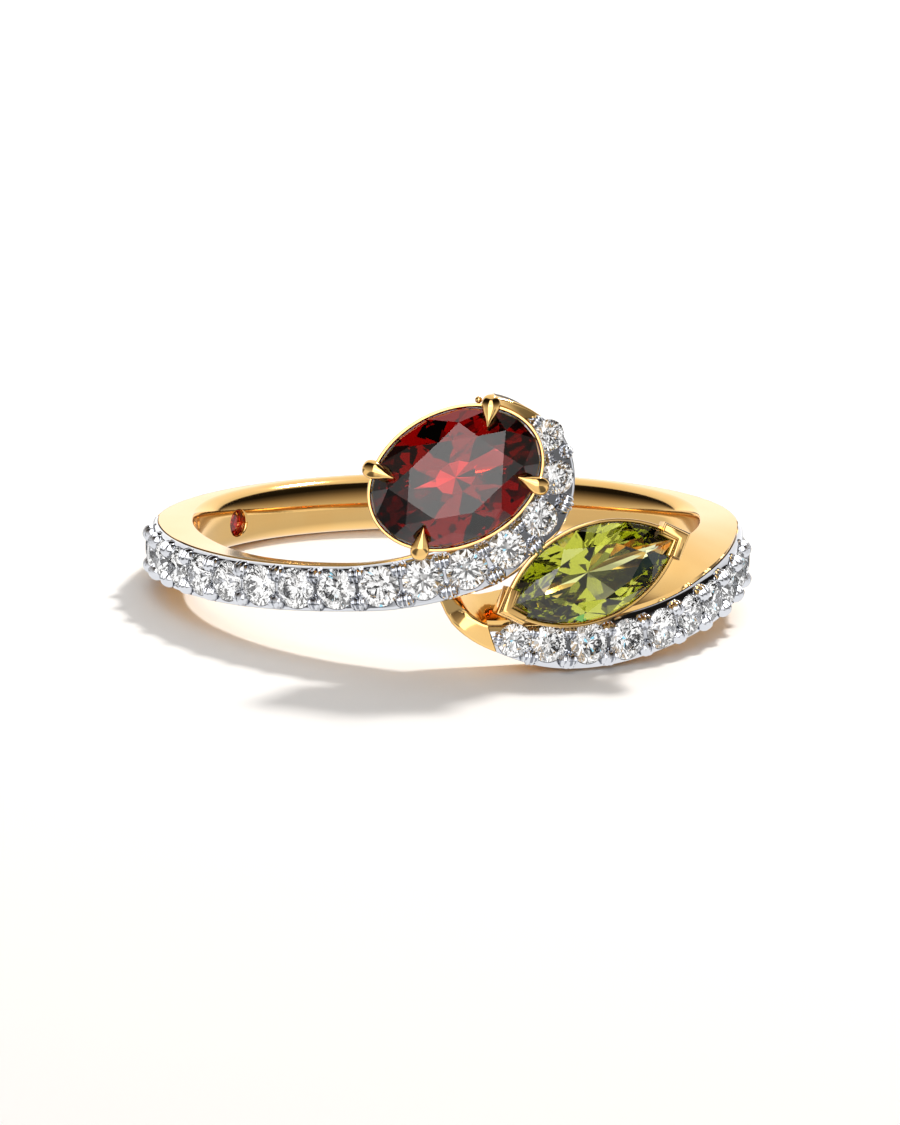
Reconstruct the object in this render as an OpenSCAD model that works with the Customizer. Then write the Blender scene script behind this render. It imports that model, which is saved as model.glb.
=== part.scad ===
// Two-stone bypass finger ring. Millimetres.
// The hoop is worked out upright on its finger axis: X to the right, -Y to the front, +Z along the finger.
// Angles round the hoop are counted from the front towards the right. The finished ring is then laid on its side.

/* [Finger hole] */
// Inside diameter of the ring
bore_d = 17.3; // [17:0.1:17.5]

/* [Arms] */
// Outer radius of the white bed on the left arm
left_bed_r = 10.05; // [10:0.01:10.1]
// Outer radius of the white bed on the right arm
right_bed_r = 10.15; // [10.1:0.01:10.2]
// Radius of the groove floor under the middle of both beds
groove_r = 9.36; // [9.3:0.01:9.4]
// Width of the ledge on each side of the groove
ledge_w = 0.22; // [0.15:0.01:0.3]
// Gap of the solder seam between the two metals
seam = 0.03; // [0.02:0.01:0.05]

/* [Round diamonds] */
// Diameter of the full-size diamonds
diamond_d = 1.34; // [1.2:0.01:1.36]
// Distance between neighbours on the left arm
left_pitch = 1.49; // [1.47:0.01:1.5]
// Distance between neighbours on the right arm
right_pitch = 1.45; // [1.44:0.01:1.46]
// Gap between a stone and its metal
stone_gap = 0.03; // [0.02:0.01:0.04]

/* [Oval stone] */
// Length of the oval stone
oval_l = 5.82; // [5.7:0.01:5.9]
// Width of the oval stone
oval_w = 4.26; // [4.1:0.01:4.3]
// Depth of the oval stone below its girdle
oval_pavilion = 1.68; // [1.5:0.01:1.7]
// Height of the oval stone above its girdle
oval_crown = 0.6; // [0.5:0.01:0.65]

/* [Marquise stone] */
// Length of the marquise stone
marquise_l = 6.15; // [6:0.01:6.2]
// Width of the marquise stone
marquise_w = 3.0; // [2.9:0.01:3.05]
// Depth of the marquise stone below its girdle
marquise_pavilion = 1.25; // [1.1:0.01:1.3]
// Height of the marquise stone above its girdle
marquise_crown = 0.45; // [0.4:0.01:0.5]

/* [Settings] */
// Width of the thin rim that shows outside each large stone
rim_w = 0.13; // [0.1:0.01:0.16]
// Depth of the collet under the oval stone
oval_collet_h = 1.4; // [1.3:0.01:1.45]
// Depth of the collet under the marquise stone
marquise_collet_h = 1.25; // [1.1:0.01:1.3]

/* [Hidden] */

bore_r = bore_d / 2;
bore_allowance = 0.07;     // the swept hoop stands this far into the bore before the bore is cut
corner_steps = 2;          // steps in each rounded corner of a section

// Where the large stones sit: centre of the girdle, turn to the right, tilt upwards, turn in its own plane
oval_at = [0.31, -10.45, 4.2];
oval_turn = [0, 9.6, 26.3];
marquise_at = [4.8, -9.3, 0.81];
marquise_turn = [14, 8.5, 19.2];
inside_at = [-123.2, -0.05];   // angle and height of the small stone inside the hoop
inside_d = 0.92;

// How the ring lies on its right arm and the back of its shank: turned about X and Y, then moved so that it
// stands on Z = 0 with the middle of its box over the origin
rest_turn = [-3.75, -2.7, 0];
rest_shift = [-0.047, 0.666, 1.764];

// Columns of the hoop's table, one row for each section from the right arm's tail round the back to the left
// arm's curl: angle and height of the lower edge, angle and height of the upper edge, rise of the top face
// towards the finger, outer radius, radius where gold meets white, inner and outer corner radius, and where the
// row of diamonds runs between the lower edge, 0, and the upper edge, 1
A_LO = 0; Z_LO = 1; A_HI = 2; Z_HI = 3; RISE = 4; R_OUT = 5; R_EDGE = 6; C_IN = 7; C_OUT = 8; MID = 9;
hoop_rows = [
    [ -3.0,  0.20,  -1.2,  0.42, 0.05,  9.28, 9.20, 0.10, 0.20, 0.50],
    [ -1.2, -0.22,   1.4,  0.10, 0.15,  9.34, 9.25, 0.10, 0.20, 0.50],
    [  1.0, -0.80,   3.8, -0.34, 0.40,  9.90, 9.70, 0.10, 0.18, 0.50],
    [  5.0, -1.36,   5.8, -0.64, 0.65, 10.05, 9.85, 0.10, 0.12, 0.55],
    [ 10.0, -1.78,   8.2, -0.82, 0.85, 10.12, 9.90, 0.10, 0.08, 0.58],
    [ 15.0, -2.13,  14.0, -0.84, 1.05, 10.12, 9.90, 0.10, 0.06, 0.59],
    [ 20.5, -2.36,  20.0, -0.87, 1.25, 10.12, 9.90, 0.10, 0.06, 0.57],
    [ 27.0, -2.46,  27.0, -0.88, 1.40, 10.12, 9.90, 0.10, 0.06, 0.55],
    [ 34.0, -2.43,  34.0, -0.88, 1.45, 10.12, 9.90, 0.10, 0.06, 0.52],
    [ 42.0, -2.29,  42.0, -0.76, 1.40, 10.12, 9.90, 0.10, 0.06, 0.50],
    [ 51.0, -2.07,  51.0, -0.46, 1.22, 10.10, 9.92, 0.10, 0.06, 0.50],
    [ 61.0, -1.83,  61.0, -0.06, 0.95, 10.08, 9.92, 0.10, 0.06, 0.50],
    [ 70.5, -1.60,  70.5,  0.30, 0.64, 10.05, 9.94, 0.10, 0.06, 0.50],
    [ 80.0, -1.34,  80.0,  0.60, 0.36, 10.02, 9.94, 0.10, 0.06, 0.50],
    [ 90.0, -1.14,  90.0,  0.82, 0.15, 10.00, 9.94, 0.10, 0.08, 0.50],
    [102.0, -1.03, 102.0,  0.93, 0.04,  9.98, 9.92, 0.26, 0.15, 0.50],
    [118.0, -1.00, 118.0,  0.97, 0.00,  9.95, 9.90, 0.52, 0.28, 0.50],
    [138.0, -1.01, 138.0,  0.96, 0.00,  9.92, 9.90, 0.74, 0.40, 0.50],
    [159.0, -1.03, 159.0,  0.93, 0.00,  9.90, 9.90, 0.80, 0.44, 0.50],
    [180.0, -1.03, 180.0,  0.92, 0.00,  9.90, 9.90, 0.80, 0.45, 0.50],
    [201.0, -1.02, 201.0,  0.93, 0.00,  9.90, 9.90, 0.80, 0.44, 0.50],
    [222.0, -0.98, 222.0,  0.96, 0.00,  9.90, 9.90, 0.74, 0.40, 0.50],
    [242.0, -0.93, 242.0,  0.98, 0.00,  9.90, 9.90, 0.52, 0.28, 0.50],
    [258.0, -0.89, 258.0,  0.98, 0.00,  9.92, 9.86, 0.26, 0.15, 0.50],
    [270.0, -0.85, 270.0,  0.98, 0.00,  9.94, 9.84, 0.10, 0.08, 0.50],
    [281.0, -0.78, 281.0,  0.97, 0.00,  9.96, 9.83, 0.10, 0.06, 0.50],
    [292.0, -0.74, 292.0,  0.94, 0.00,  9.98, 9.82, 0.10, 0.06, 0.50],
    [302.0, -0.73, 302.0,  0.91, 0.00, 10.00, 9.78, 0.10, 0.06, 0.50],
    [312.0, -0.72, 312.0,  0.90, 0.00, 10.00, 9.72, 0.10, 0.06, 0.50],
    [322.0, -0.66, 322.0,  0.92, 0.00, 10.00, 9.64, 0.10, 0.06, 0.50],
    [332.0, -0.57, 332.0,  0.98, 0.00, 10.00, 9.56, 0.10, 0.06, 0.50],
    [341.0, -0.47, 341.0,  1.08, 0.00, 10.00, 9.50, 0.10, 0.06, 0.51],
    [348.5, -0.37, 348.5,  1.27, 0.00, 10.00, 9.46, 0.10, 0.06, 0.52],
    [354.0, -0.22, 353.5,  1.46, 0.00, 10.00, 9.45, 0.10, 0.06, 0.52],
    [359.0, -0.03, 358.2,  1.64, 0.00, 10.00, 9.45, 0.10, 0.06, 0.52],
    [364.0,  0.20, 362.5,  1.78, 0.00, 10.00, 9.45, 0.10, 0.06, 0.53],
    [369.3,  0.50, 366.5,  2.01, 0.00, 10.00, 9.45, 0.10, 0.06, 0.54],
    [374.0,  0.95, 370.0,  2.34, 0.00, 10.00, 9.45, 0.10, 0.06, 0.56],
    [378.5,  1.58, 373.0,  2.75, 0.00, 10.00, 9.45, 0.10, 0.06, 0.56],
    [382.0,  2.27, 375.4,  3.21, 0.00, 10.00, 9.45, 0.10, 0.06, 0.56],
    [383.9,  2.98, 377.1,  3.67, 0.00, 10.00, 9.45, 0.10, 0.06, 0.54],
    [384.6,  3.70, 378.1,  4.17, 0.00, 10.00, 9.45, 0.10, 0.06, 0.50],
    [384.4,  4.38, 378.4,  4.65, 0.00, 10.00, 9.45, 0.10, 0.06, 0.47],
    [383.4,  4.98, 377.9,  5.11, 0.00, 10.00, 9.45, 0.10, 0.06, 0.46],
    [381.7,  5.50, 376.7,  5.54, 0.00, 10.02, 9.48, 0.10, 0.06, 0.46],
    [379.2,  5.95, 374.8,  5.92, 0.00, 10.04, 9.52, 0.10, 0.08, 0.50],
    [376.2,  6.32, 372.5,  6.20, 0.00, 10.05, 9.60, 0.10, 0.10, 0.50],
    [372.9,  6.60, 370.0,  6.37, 0.00, 10.05, 9.60, 0.10, 0.10, 0.50],
    [369.8,  6.75, 367.6,  6.46, 0.00, 10.05, 9.60, 0.05, 0.08, 0.50]];
widest_step = 6.2;         // most degrees between two sections
curl_row = 36;             // from this row on, the arm stands free of the finger
curl_lift = 0.35;          // and its inner side lies this far outside the bore
right_bed_rows = [3.9, 14.1];
left_bed_rows = [23.7, 44.9];

// Plain helpers

function numbered(stem, i) = str(stem, i < 10 ? "0" : "", i);

// The row of a table at a place between two rows, on a smooth curve through them
function smooth_row(rows, t) =
    let (last = len(rows) - 1, i = max(0, min(floor(t), last - 1)), f = t - i,
         a = rows[max(i - 1, 0)], b = rows[i], c = rows[i + 1], d = rows[min(i + 2, last)])
    0.5 * (2 * b + (c - a) * f + (2 * a - 5 * b + 4 * c - d) * f * f + (3 * b - a - 3 * c + d) * f * f * f);

// The point at an angle round the hoop, a distance from its axis and a height
function round_hoop(a, r, z) = [r * sin(a), -r * cos(a), z];

function ramp(t, from, to) = max(0, min(1, (t - from) / (to - from)));

// A solid through a list of closed rings with equal counts of points
module loft(rings, closed = false) {
    n = len(rings[0]);
    m = len(rings);
    side = [for (j = [0 : m - (closed ? 1 : 2)], i = [0 : n - 1])
        let (k = (j + 1) % m, e = (i + 1) % n)
            [[j * n + i, k * n + e, k * n + i], [j * n + i, j * n + e, k * n + e]]];
    ends = closed ? [] : [for (i = [0 : n - 1]) [[m * n, (i + 1) % n, i],
        [m * n + 1, (m - 1) * n + i, (m - 1) * n + (i + 1) % n]]];
    centres = closed ? [] : [middle(rings[0]), middle(rings[m - 1])];
    polyhedron(points = concat([for (ring = rings) each ring], centres),
        faces = [for (pair = concat(side, ends)) each pair]);
}

function middle(points) = let (n = len(points)) [for (k = [0:2]) sum([for (p = points) p[k]]) / n];
function sum(v) = [for (i = 0, s = v[0]; i < len(v); i = i + 1, s = s + (i < len(v) ? v[i] : 0)) s][len(v) - 1];

// The hoop

function free_of_finger(t) = ramp(t, curl_row - 1, curl_row + 1);
function inner_r(t) = bore_r - bore_allowance + (bore_allowance + curl_lift) * free_of_finger(t);
function strip_w(row, r) =
    norm([(row[A_HI] - row[A_LO]) * PI / 180 * r, row[Z_HI] - row[Z_LO]]);

// The point of a section p millimetres up from the lower edge at radius r
function on_section(row, t, p, r) =
    let (u = p / strip_w(row, r), inward = (row[R_OUT] - r) / (row[R_OUT] - inner_r(t)))
    round_hoop(row[A_LO] + (row[A_HI] - row[A_LO]) * u, r,
        row[Z_LO] + (row[Z_HI] - row[Z_LO]) * u + row[RISE] * inward * u);

function corner(x, y, radius, from) =
    [for (k = [0:corner_steps]) let (a = from - 90 * k / corner_steps) [x + radius * cos(a), y + radius * sin(a)]];

// The groove for a white bed: a ledge at each edge and a floor between them. Each point is how far up from the
// lower edge, and its radius
function groove(row, w) =
    let (edge = row[R_EDGE], floor_r = min(edge - 0.02, groove_r), ledge = ledge_w, slope = 0.05)
    [[0, edge], [ledge, edge], [ledge + slope, floor_r], [w - ledge - slope, floor_r], [w - ledge, edge], [w, edge]];

function hoop_ring(t, grooved) =
    let (row = smooth_row(hoop_rows, t), w = strip_w(row, 9.5), ci = row[C_IN], co = row[C_OUT],
         r0 = inner_r(t), r1 = row[R_OUT],
         outside = grooved ? groove(row, w)
             : concat(corner(co, r1 - co, co, 180), corner(w - co, r1 - co, co, 90)),
         outline = concat(corner(ci, r0 + ci, ci, 270), outside, corner(w - ci, r0 + ci, ci, 0)))
    [for (q = outline) on_section(row, t, q[0] * strip_w(row, q[1]) / w, q[1])];

// Places of the sections along the table, closer together where its rows lie further apart
even_stations = [for (i = [0 : len(hoop_rows) - 2])
    let (wide = abs(hoop_rows[i + 1][A_LO] - hoop_rows[i][A_LO]), n = max(1, ceil(wide / widest_step)))
    for (k = [0 : n - 1]) i + k / n];

// The sections between two places, with both of them
function stations(from, to) =
    concat([from], [for (t = even_stations) if (t > from + 0.1 && t < to - 0.1) t], [to]);

end_gap = 0.03;            // of a row, between the end of a bed and the end of its groove
end_wall = 0.03;           // of a row, the slope of that end

// The two halves of the hoop meet at the back. Each has the groove of one arm, and where the arms cross at the
// front they are soldered together
back_row = 19;
module right_half() {
    grooved = right_bed_rows + [-end_gap, end_gap];
    loft(concat(
        [for (t = stations(0, grooved[0] - end_wall)) hoop_ring(t, false)],
        [for (t = stations(grooved[0], grooved[1])) hoop_ring(t, true)],
        [for (t = stations(grooved[1] + end_wall, back_row)) hoop_ring(t, false)]));
}

module left_half() {
    grooved = left_bed_rows + [-end_gap, end_gap];
    loft(concat(
        [for (t = stations(back_row, grooved[0] - end_wall)) hoop_ring(t, false)],
        [for (t = stations(grooved[0], grooved[1])) hoop_ring(t, true)],
        [for (t = stations(grooved[1] + end_wall, len(hoop_rows) - 1)) hoop_ring(t, false)]));
}

// The white beds

// One section of a bed: it stands on the groove's ledges and floor with the gap of the solder seam
function bed_ring(t, top_r) =
    let (row = smooth_row(hoop_rows, t), w = strip_w(row, 9.5), bevel = 0.08,
         foot = [for (q = groove(row, w)) [q[0] < w / 2 ? q[0] + (q[0] > 0 ? seam : 0)
             : q[0] - (q[0] < w ? seam : 0), q[1] + seam]])
    [for (q = concat([foot[0], [0, top_r - bevel], [bevel, top_r], [w - bevel, top_r], [w, top_r - bevel]],
        [for (k = [5:-1:1]) foot[k]])) on_section(row, t, q[0] * strip_w(row, q[1]) / w, q[1])];

module bed_strip(rows, top_r) {
    loft([for (t = stations(rows[0], rows[1])) bed_ring(t, top_r)]);
}

// Places along a bed

function bed_middle(t, r) =
    let (row = smooth_row(hoop_rows, t)) on_section(row, t, strip_w(row, r) * row[MID], r);

function bed_lengths(rows, r) =
    let (n = 120, fine = [for (k = [0:n]) rows[0] + (rows[1] - rows[0]) * k / n])
    [for (k = 0, s = 0; k <= n;
        s = s + (k < n ? norm(bed_middle(fine[k + 1], r) - bed_middle(fine[k], r)) : 0), k = k + 1) [s, fine[k]]];

left_lengths = bed_lengths(left_bed_rows, left_bed_r);
right_lengths = bed_lengths(right_bed_rows, right_bed_r);

left_first = 0.75;         // from the bed's end to the first diamond's centre
right_first = 0.76;
function left_t(i) = lookup(left_first + left_pitch * (i - 1), left_lengths);
right_nudges = [0, -0.25, -0.24, -0.18, -0.05];    // the stones near the tip stand closer together
function right_nudge(i) = i <= len(right_nudges) ? right_nudges[i - 1] : 0;
function right_t(i) = lookup(right_first + right_pitch * (i - 1) + right_nudge(i), right_lengths);
function left_d(i) = diamond_d - 0.08 * max(0, i - 12);
function right_d(i) = diamond_d - 0.1 * max(0, 3 - i);

// Puts its children on a bed at row t, turned to face outwards
module on_bed(t, r) {
    p = bed_middle(t, r);
    translate(p) rotate([0, 0, atan2(p[0], -p[1])]) rotate([90, 0, 0]) children();
}

// Turn of a bed's line in the face of the ring, from level
function bed_heading(t, r) =
    let (a = bed_middle(t - 0.1, r), b = bed_middle(t + 0.1, r), m = bed_middle(t, r))
    let (along = [-m[1], m[0], 0] / r)
    atan2(b[2] - a[2], (b - a) * along);

// Cut stones

// A point of an outline at an angle: an ellipse, or two arcs that meet in points
function ellipse_at(l, w, a) = [l / 2 * cos(a), w / 2 * sin(a)];
function arc_radius(l, w) = (l * l + w * w) / (4 * w);
function pointed_at(l, w, a) =
    let (radius = arc_radius(l, w), half = asin(l / 2 / radius), b = (a % 360 + 360) % 360,
         s = b <= 180 ? 1 - b / 90 : (b - 270) / 90)
    [radius * sin(s * half), (b <= 180 ? 1 : -1) * (radius * cos(s * half) - radius + w / 2)];
function outline_at(pointed, l, w, a) = pointed ? pointed_at(l, w, a) : ellipse_at(l, w, a);

// A brilliant cut with a table, stars, kites, girdle facets and pavilion facets
module brilliant(l, w, crown, pavilion, pointed = false, table = 0.6, girdle = 0.05) {
    star = 0.8;
    low = 0.3;
    half = girdle / 2;
    star_h = half + crown * (1 - star * cos(22.5)) / (1 - table);
    low_h = half + pavilion * (1 - low * cos(22.5));
    function at(a, part, z) = let (q = outline_at(pointed, l, w, a) * part) [q[0], q[1], z];
    points = concat(
        [for (k = [0:7]) at(45 * k, table, half + crown)],
        [for (k = [0:7]) at(45 * k + 22.5, star, star_h)],
        [for (k = [0:15]) at(22.5 * k, 1, half)],
        [for (k = [0:15]) at(22.5 * k, 1, -half)],
        [for (k = [0:7]) at(45 * k + 22.5, low, -low_h)],
        [[0, 0, -half - pavilion]]);
    faces = concat(
        [[for (k = [7:-1:0]) k]],
        [for (k = [0:7]) let (n = (k + 1) % 8, g = 16 + 2 * k, h = 16 + (2 * k + 2) % 16)
            each [[k, n, 8 + k], [8 + k, g + 1, g], [8 + k, h, g + 1], [k, 8 + k, g], [n, h, 8 + k]]],
        [for (k = [0:15]) let (n = (k + 1) % 16) each [[16 + k, 16 + n, 32 + n], [16 + k, 32 + n, 32 + k]]],
        [for (k = [0:7]) let (g = 32 + 2 * k, h = 32 + (2 * k + 2) % 16, n = 48 + k)
            each [[n, g, g + 1], [n, g + 1, h], [56, g, n], [56, n, h]]]);
    polyhedron(points = points, faces = faces);
}

// The room that a stone needs, as a plain double cone round it
module stone_room(l, w, crown, pavilion, pointed = false, sides = 24, table = 0.6) {
    grow = 1 / cos(180 / sides);
    out = stone_gap * grow;
    tip = 0.05;
    function ring(part, extra, z) =
        [for (k = [0 : sides - 1]) let (q = outline_at(pointed, l * part + 2 * extra, w * part + 2 * extra,
            -360 * k / sides)) [q[0], q[1], z]];
    loft([ring(tip, 0, -pavilion - 0.06), ring(grow, out, -0.05), ring(grow, out, 0.05),
        ring(table * grow, out, crown + 0.05)]);
}

module place_large(at, turn) {
    translate(at) rotate([0, 0, turn[0]]) rotate([90 - turn[1], 0, 0]) rotate([0, 0, turn[2]]) children();
}

// Settings of the two large stones

// Columns of a collet's wall: how far outside the girdle, and how far above it
function oval_wall(h) = [
    [rim_w, 0.07], [rim_w, -0.15], [-0.4, -h], [-0.62, -h], [-0.14, -0.2], [0.03, -0.09], [0.03, 0.07]];
function marquise_wall(h) = [
    [rim_w, 0.07], [rim_w, -0.15], [-0.38, -h], [-0.6, -h], [-0.14, -0.2], [0.03, -0.09], [0.03, 0.07]];

// A wall all round an outline. tip_reach is how much further it stands out at the ends than at the sides
module collet(wall, l, w, pointed, tip_reach, count) {
    loft([for (k = [0 : count - 1]) [for (q = wall)
        let (p = outline_at(pointed, l + 2 * tip_reach * q[0], w + 2 * q[0], -360 * k / count))
            [p[0], p[1], q[1]]]],
        closed = true);
}

// The room that a collet's outside takes from a white bed
module collet_room(wall, l, w, pointed, tip_reach, count) {
    loft([for (q = [wall[2], wall[1], wall[0]]) [for (k = [0 : count - 1])
        let (out = q[0] + seam, p = outline_at(pointed, l + 2 * tip_reach * out, w + 2 * out, -360 * k / count))
        [p[0], p[1], q[1] + (q[1] > 0 ? 1 : 0)]]]);
}

module oval_collet() {
    collet(oval_wall(oval_collet_h), oval_l, oval_w, false, 1, 32);
}

marquise_reach = 1.6;
module marquise_collet() {
    collet(marquise_wall(marquise_collet_h), marquise_l, marquise_w, true, marquise_reach, 24);
}

module collet_rooms() {
    place_large(oval_at, oval_turn) collet_room(oval_wall(oval_collet_h), oval_l, oval_w, false, 1, 32);
    place_large(marquise_at, marquise_turn)
        collet_room(marquise_wall(marquise_collet_h), marquise_l, marquise_w, true, marquise_reach, 24);
}

// A ring of a claw: centre, half width, half height and the way it leans
function claw_ring(c, half_w, half_h, lean, sides) =
    [for (k = [0 : sides - 1]) let (a = 360 * k / sides, v = half_h * sin(a))
        [c[0] + v * sin(lean), half_w * cos(a), c[1] + v * cos(lean)]];

// Columns of a teardrop claw, from its root to its tip: distance out from the girdle, height above it, half
// width, half height and lean of its section
claw_rows = [
    [-0.02, -0.60, 0.10, 0.08, 90], [0.16, -0.20, 0.16, 0.13, 80],
    [0.33, 0.08, 0.24, 0.15, 60], [0.26, 0.28, 0.28, 0.19, 35], [0.03, 0.38, 0.25, 0.19, 15],
    [-0.24, 0.45, 0.17, 0.16, 15], [-0.48, 0.51, 0.08, 0.10, 15], [-0.60, 0.54, 0.02, 0.03, 15]];
claw_angles = [46, 140.5, 225.5, 320.5];

module teardrop_claw(a) {
    p = ellipse_at(oval_l, oval_w, a);
    heading = atan2(p[1] / (oval_w * oval_w), p[0] / (oval_l * oval_l));
    translate([p[0], p[1], 0]) rotate([0, 0, heading])
        loft([for (q = claw_rows) claw_ring([q[0], q[1]], q[2], q[3], q[4], 8)]);
}

// A chevron round one tip of the marquise: its arms follow the two edges of the stone
chevron_arm = 0.97;
chevron_w = 0.42;
chevron_top = 0.5;
chevron_foot = 0.35;
chevron_half = 45;         // half the angle between its arms
chevron_out = 0.48;        // from the stone's tip to the chevron's outer corner
elbow = marquise_l / 2 + chevron_out;
function flip(p, side) = [p[0], side * p[1]];

module chevron() {
    difference() {
        chevron_block();
        stone_room(marquise_l, marquise_w, marquise_crown, marquise_pavilion, true, 32);
    }
}

module chevron_block() {
    c = cos(chevron_half);
    s = sin(chevron_half);
    far = [elbow - chevron_arm * c, chevron_arm * s];
    near = far - chevron_w * [s, c];
    outline = [[elbow, 0], far, near, [elbow - chevron_w / s, 0], flip(near, -1), flip(far, -1)];
    translate([0, 0, -chevron_foot]) linear_extrude(chevron_foot + chevron_top) polygon(outline);
}

// The post that carries the outer tip of the marquise down to the ramp of the right arm, in the hoop's frame.
// Columns: a point of its line and its half width
post_rows = [
    [7.55, -8.40, 1.75, 0.16], [7.25, -7.50, 1.30, 0.20], [7.00, -6.60, 0.60, 0.28], [6.75, -5.90, 0.00, 0.30]];
module tip_post() {
    loft([for (q = post_rows) [for (k = [0:7]) let (a = 45 * k)
        [q[0] + q[3] * cos(a), q[1], q[2] + q[3] * sin(a)]]]);
}

// The small stone inside the hoop sits a little sunk, at the foot of a smooth round cup
module inside_place() {
    rotate([0, 0, inside_at[0]]) translate([0, -bore_r, inside_at[1]]) rotate([-90, 0, 0]) children();
}

inside_sunk = 0.32;
cup_foot_r = 0.1;
cup_mouth_r = 0.48;
cup_depth = 0.67;
cup_wall_h = 0.35;         // how deep the cup's straight wall is, before it narrows under the stone
cup_above = 0.2;           // how far the cutter stands out of the wall, into the finger hole
module inside_cup() {
    inside_place() translate([0, 0, -cup_depth])
        cylinder(r1 = cup_foot_r, r2 = cup_mouth_r, h = cup_depth - cup_wall_h, $fn = 48);
    inside_place() translate([0, 0, -cup_wall_h])
        cylinder(r = cup_mouth_r, h = cup_wall_h + cup_above, $fn = 48);
}

// Nodes

module gold_band() {
    color("gold") difference() {
        union() {
            right_half();
            left_half();
            place_large(oval_at, oval_turn) {
                oval_collet();
                for (a = claw_angles) teardrop_claw(a);
            }
            place_large(marquise_at, marquise_turn) {
                marquise_collet();
                chevron();
                mirror([1, 0, 0]) chevron();
            }
            tip_post();
        }
        cylinder(r = bore_r, h = 30, center = true, $fn = 96);
        inside_cup();
    }
}

// Shared beads between two stones: a long dome on each side of the row
bead_l = 0.62;
bead_w = 0.46;
bead_rise = 0.22;
bead_off = 0.54;
end_bead_in = 0.22;        // from the bed's free end to the centre of its end bead
end_bead_size = 0.7;       // of a shared bead
module bead() {
    small = bead_w / 2;
    scale([1, 1, bead_rise / small]) hull() for (x = [-1, 1])
        translate([x * (bead_l / 2 - small), 0, 0]) sphere(r = small, $fn = 6);
}

module bead_pair(t, r) {
    row = smooth_row(hoop_rows, t);
    w = strip_w(row, r);
    low = min(bead_off, w * row[MID] - 0.2);
    high = min(bead_off, w * (1 - row[MID]) - 0.2);
    on_bed(t, r) rotate([0, 0, bed_heading(t, r)]) for (y = [-low, high]) translate([0, y, 0]) bead();
}

// The single bead that closes the row at a free end of a bed
module end_bead(t, r) {
    on_bed(t, r) rotate([0, 0, bed_heading(t, r) + 90]) scale(end_bead_size) bead();
}

module pave_bed(rows, r, free_end, count, place, size) {
    difference() {
        union() {
            bed_strip(rows, r);
            for (i = [1 : count - 1]) bead_pair((place(i) + place(i + 1)) / 2, r);
            end_bead(free_end, r);
        }
        for (i = [1:count])
            on_bed(place(i), r) stone_room(size(i), size(i), 0.16 * size(i), 0.42 * size(i), false, 10);
        collet_rooms();
    }
}

module diamond(d) {
    brilliant(d, d, 0.15 * d, 0.4 * d, false, 0.57, 0.03);
}

module left_pave_bed() {
    free_end = lookup(left_lengths[len(left_lengths) - 1][0] - end_bead_in, left_lengths);
    color("silver")
        pave_bed(left_bed_rows, left_bed_r, free_end, 16, function (i) left_t(i), function (i) left_d(i));
}

module right_pave_bed() {
    free_end = lookup(end_bead_in, right_lengths);
    color("silver")
        pave_bed(right_bed_rows, right_bed_r, free_end, 10, function (i) right_t(i), function (i) right_d(i));
}

module left_diamond(i) {
    color("white") on_bed(left_t(i), left_bed_r) diamond(left_d(i));
}

module right_diamond(i) {
    color("white") on_bed(right_t(i), right_bed_r) diamond(right_d(i));
}

module oval_stone() {
    color("darkred") place_large(oval_at, oval_turn) brilliant(oval_l, oval_w, oval_crown, oval_pavilion);
}

module marquise_stone() {
    color("yellowgreen") place_large(marquise_at, marquise_turn)
        brilliant(marquise_l, marquise_w, marquise_crown, marquise_pavilion, true);
}

module inside_stone() {
    color("crimson") inside_place() translate([0, 0, -inside_sunk]) rotate([0, 0, 90])
        brilliant(inside_d, inside_d, 0.08, 0.28);
}

module laid_down() {
    translate(rest_shift) rotate(rest_turn) children();
}

laid_down() {
    gold_band();
    left_pave_bed();
    right_pave_bed();
    oval_stone();
    marquise_stone();
    inside_stone();
    for (i = [1:16]) left_diamond(i);
    for (i = [1:10]) right_diamond(i);
}
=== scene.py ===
"""A two-stone bypass finger ring in yellow and white gold, lying on its side.

The ring is worked out in millimetres, upright on its finger axis: X to the right, -Y to the front, +Z along
the finger. Angles round the hoop are counted from the front towards the right. Every piece is then laid down
with the same turn and shift, and is written in metres.
"""

import logging
import math
from collections.abc import Callable, Sequence
from dataclasses import dataclass, field
from enum import Enum
from typing import ClassVar

import bmesh
import bpy
import numpy as np
from mathutils import Matrix, Vector

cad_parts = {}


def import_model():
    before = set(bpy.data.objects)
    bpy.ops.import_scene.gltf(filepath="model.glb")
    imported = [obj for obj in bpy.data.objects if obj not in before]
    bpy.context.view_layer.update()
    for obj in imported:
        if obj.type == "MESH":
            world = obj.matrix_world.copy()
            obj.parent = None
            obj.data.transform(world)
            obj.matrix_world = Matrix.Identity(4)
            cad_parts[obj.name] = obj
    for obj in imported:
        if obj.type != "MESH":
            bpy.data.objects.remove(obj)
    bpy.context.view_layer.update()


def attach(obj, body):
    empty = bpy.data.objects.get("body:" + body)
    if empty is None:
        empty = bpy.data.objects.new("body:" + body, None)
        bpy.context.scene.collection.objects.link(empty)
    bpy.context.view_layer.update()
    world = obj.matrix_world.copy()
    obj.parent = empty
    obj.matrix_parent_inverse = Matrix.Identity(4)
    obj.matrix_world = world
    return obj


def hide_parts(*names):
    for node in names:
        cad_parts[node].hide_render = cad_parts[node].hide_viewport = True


LOG = logging.getLogger("ring")
MM = 0.001
BODY = "root"

Socket = bpy.types.NodeSocket
Numbers = tuple[float, ...]
Given = dict[str | int, object]


# How the ring lies

REST_TURN = (-3.75, -2.7)
REST_SHIFT = (-0.047, 0.666, 1.764)


def turned(axis: str, degrees: float) -> Matrix:
    """A turn about a named axis, in degrees."""
    return Matrix.Rotation(math.radians(degrees), 4, axis)


LAID_DOWN = Matrix.Translation(REST_SHIFT) @ turned("Y", REST_TURN[1]) @ turned("X", REST_TURN[0])


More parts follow.
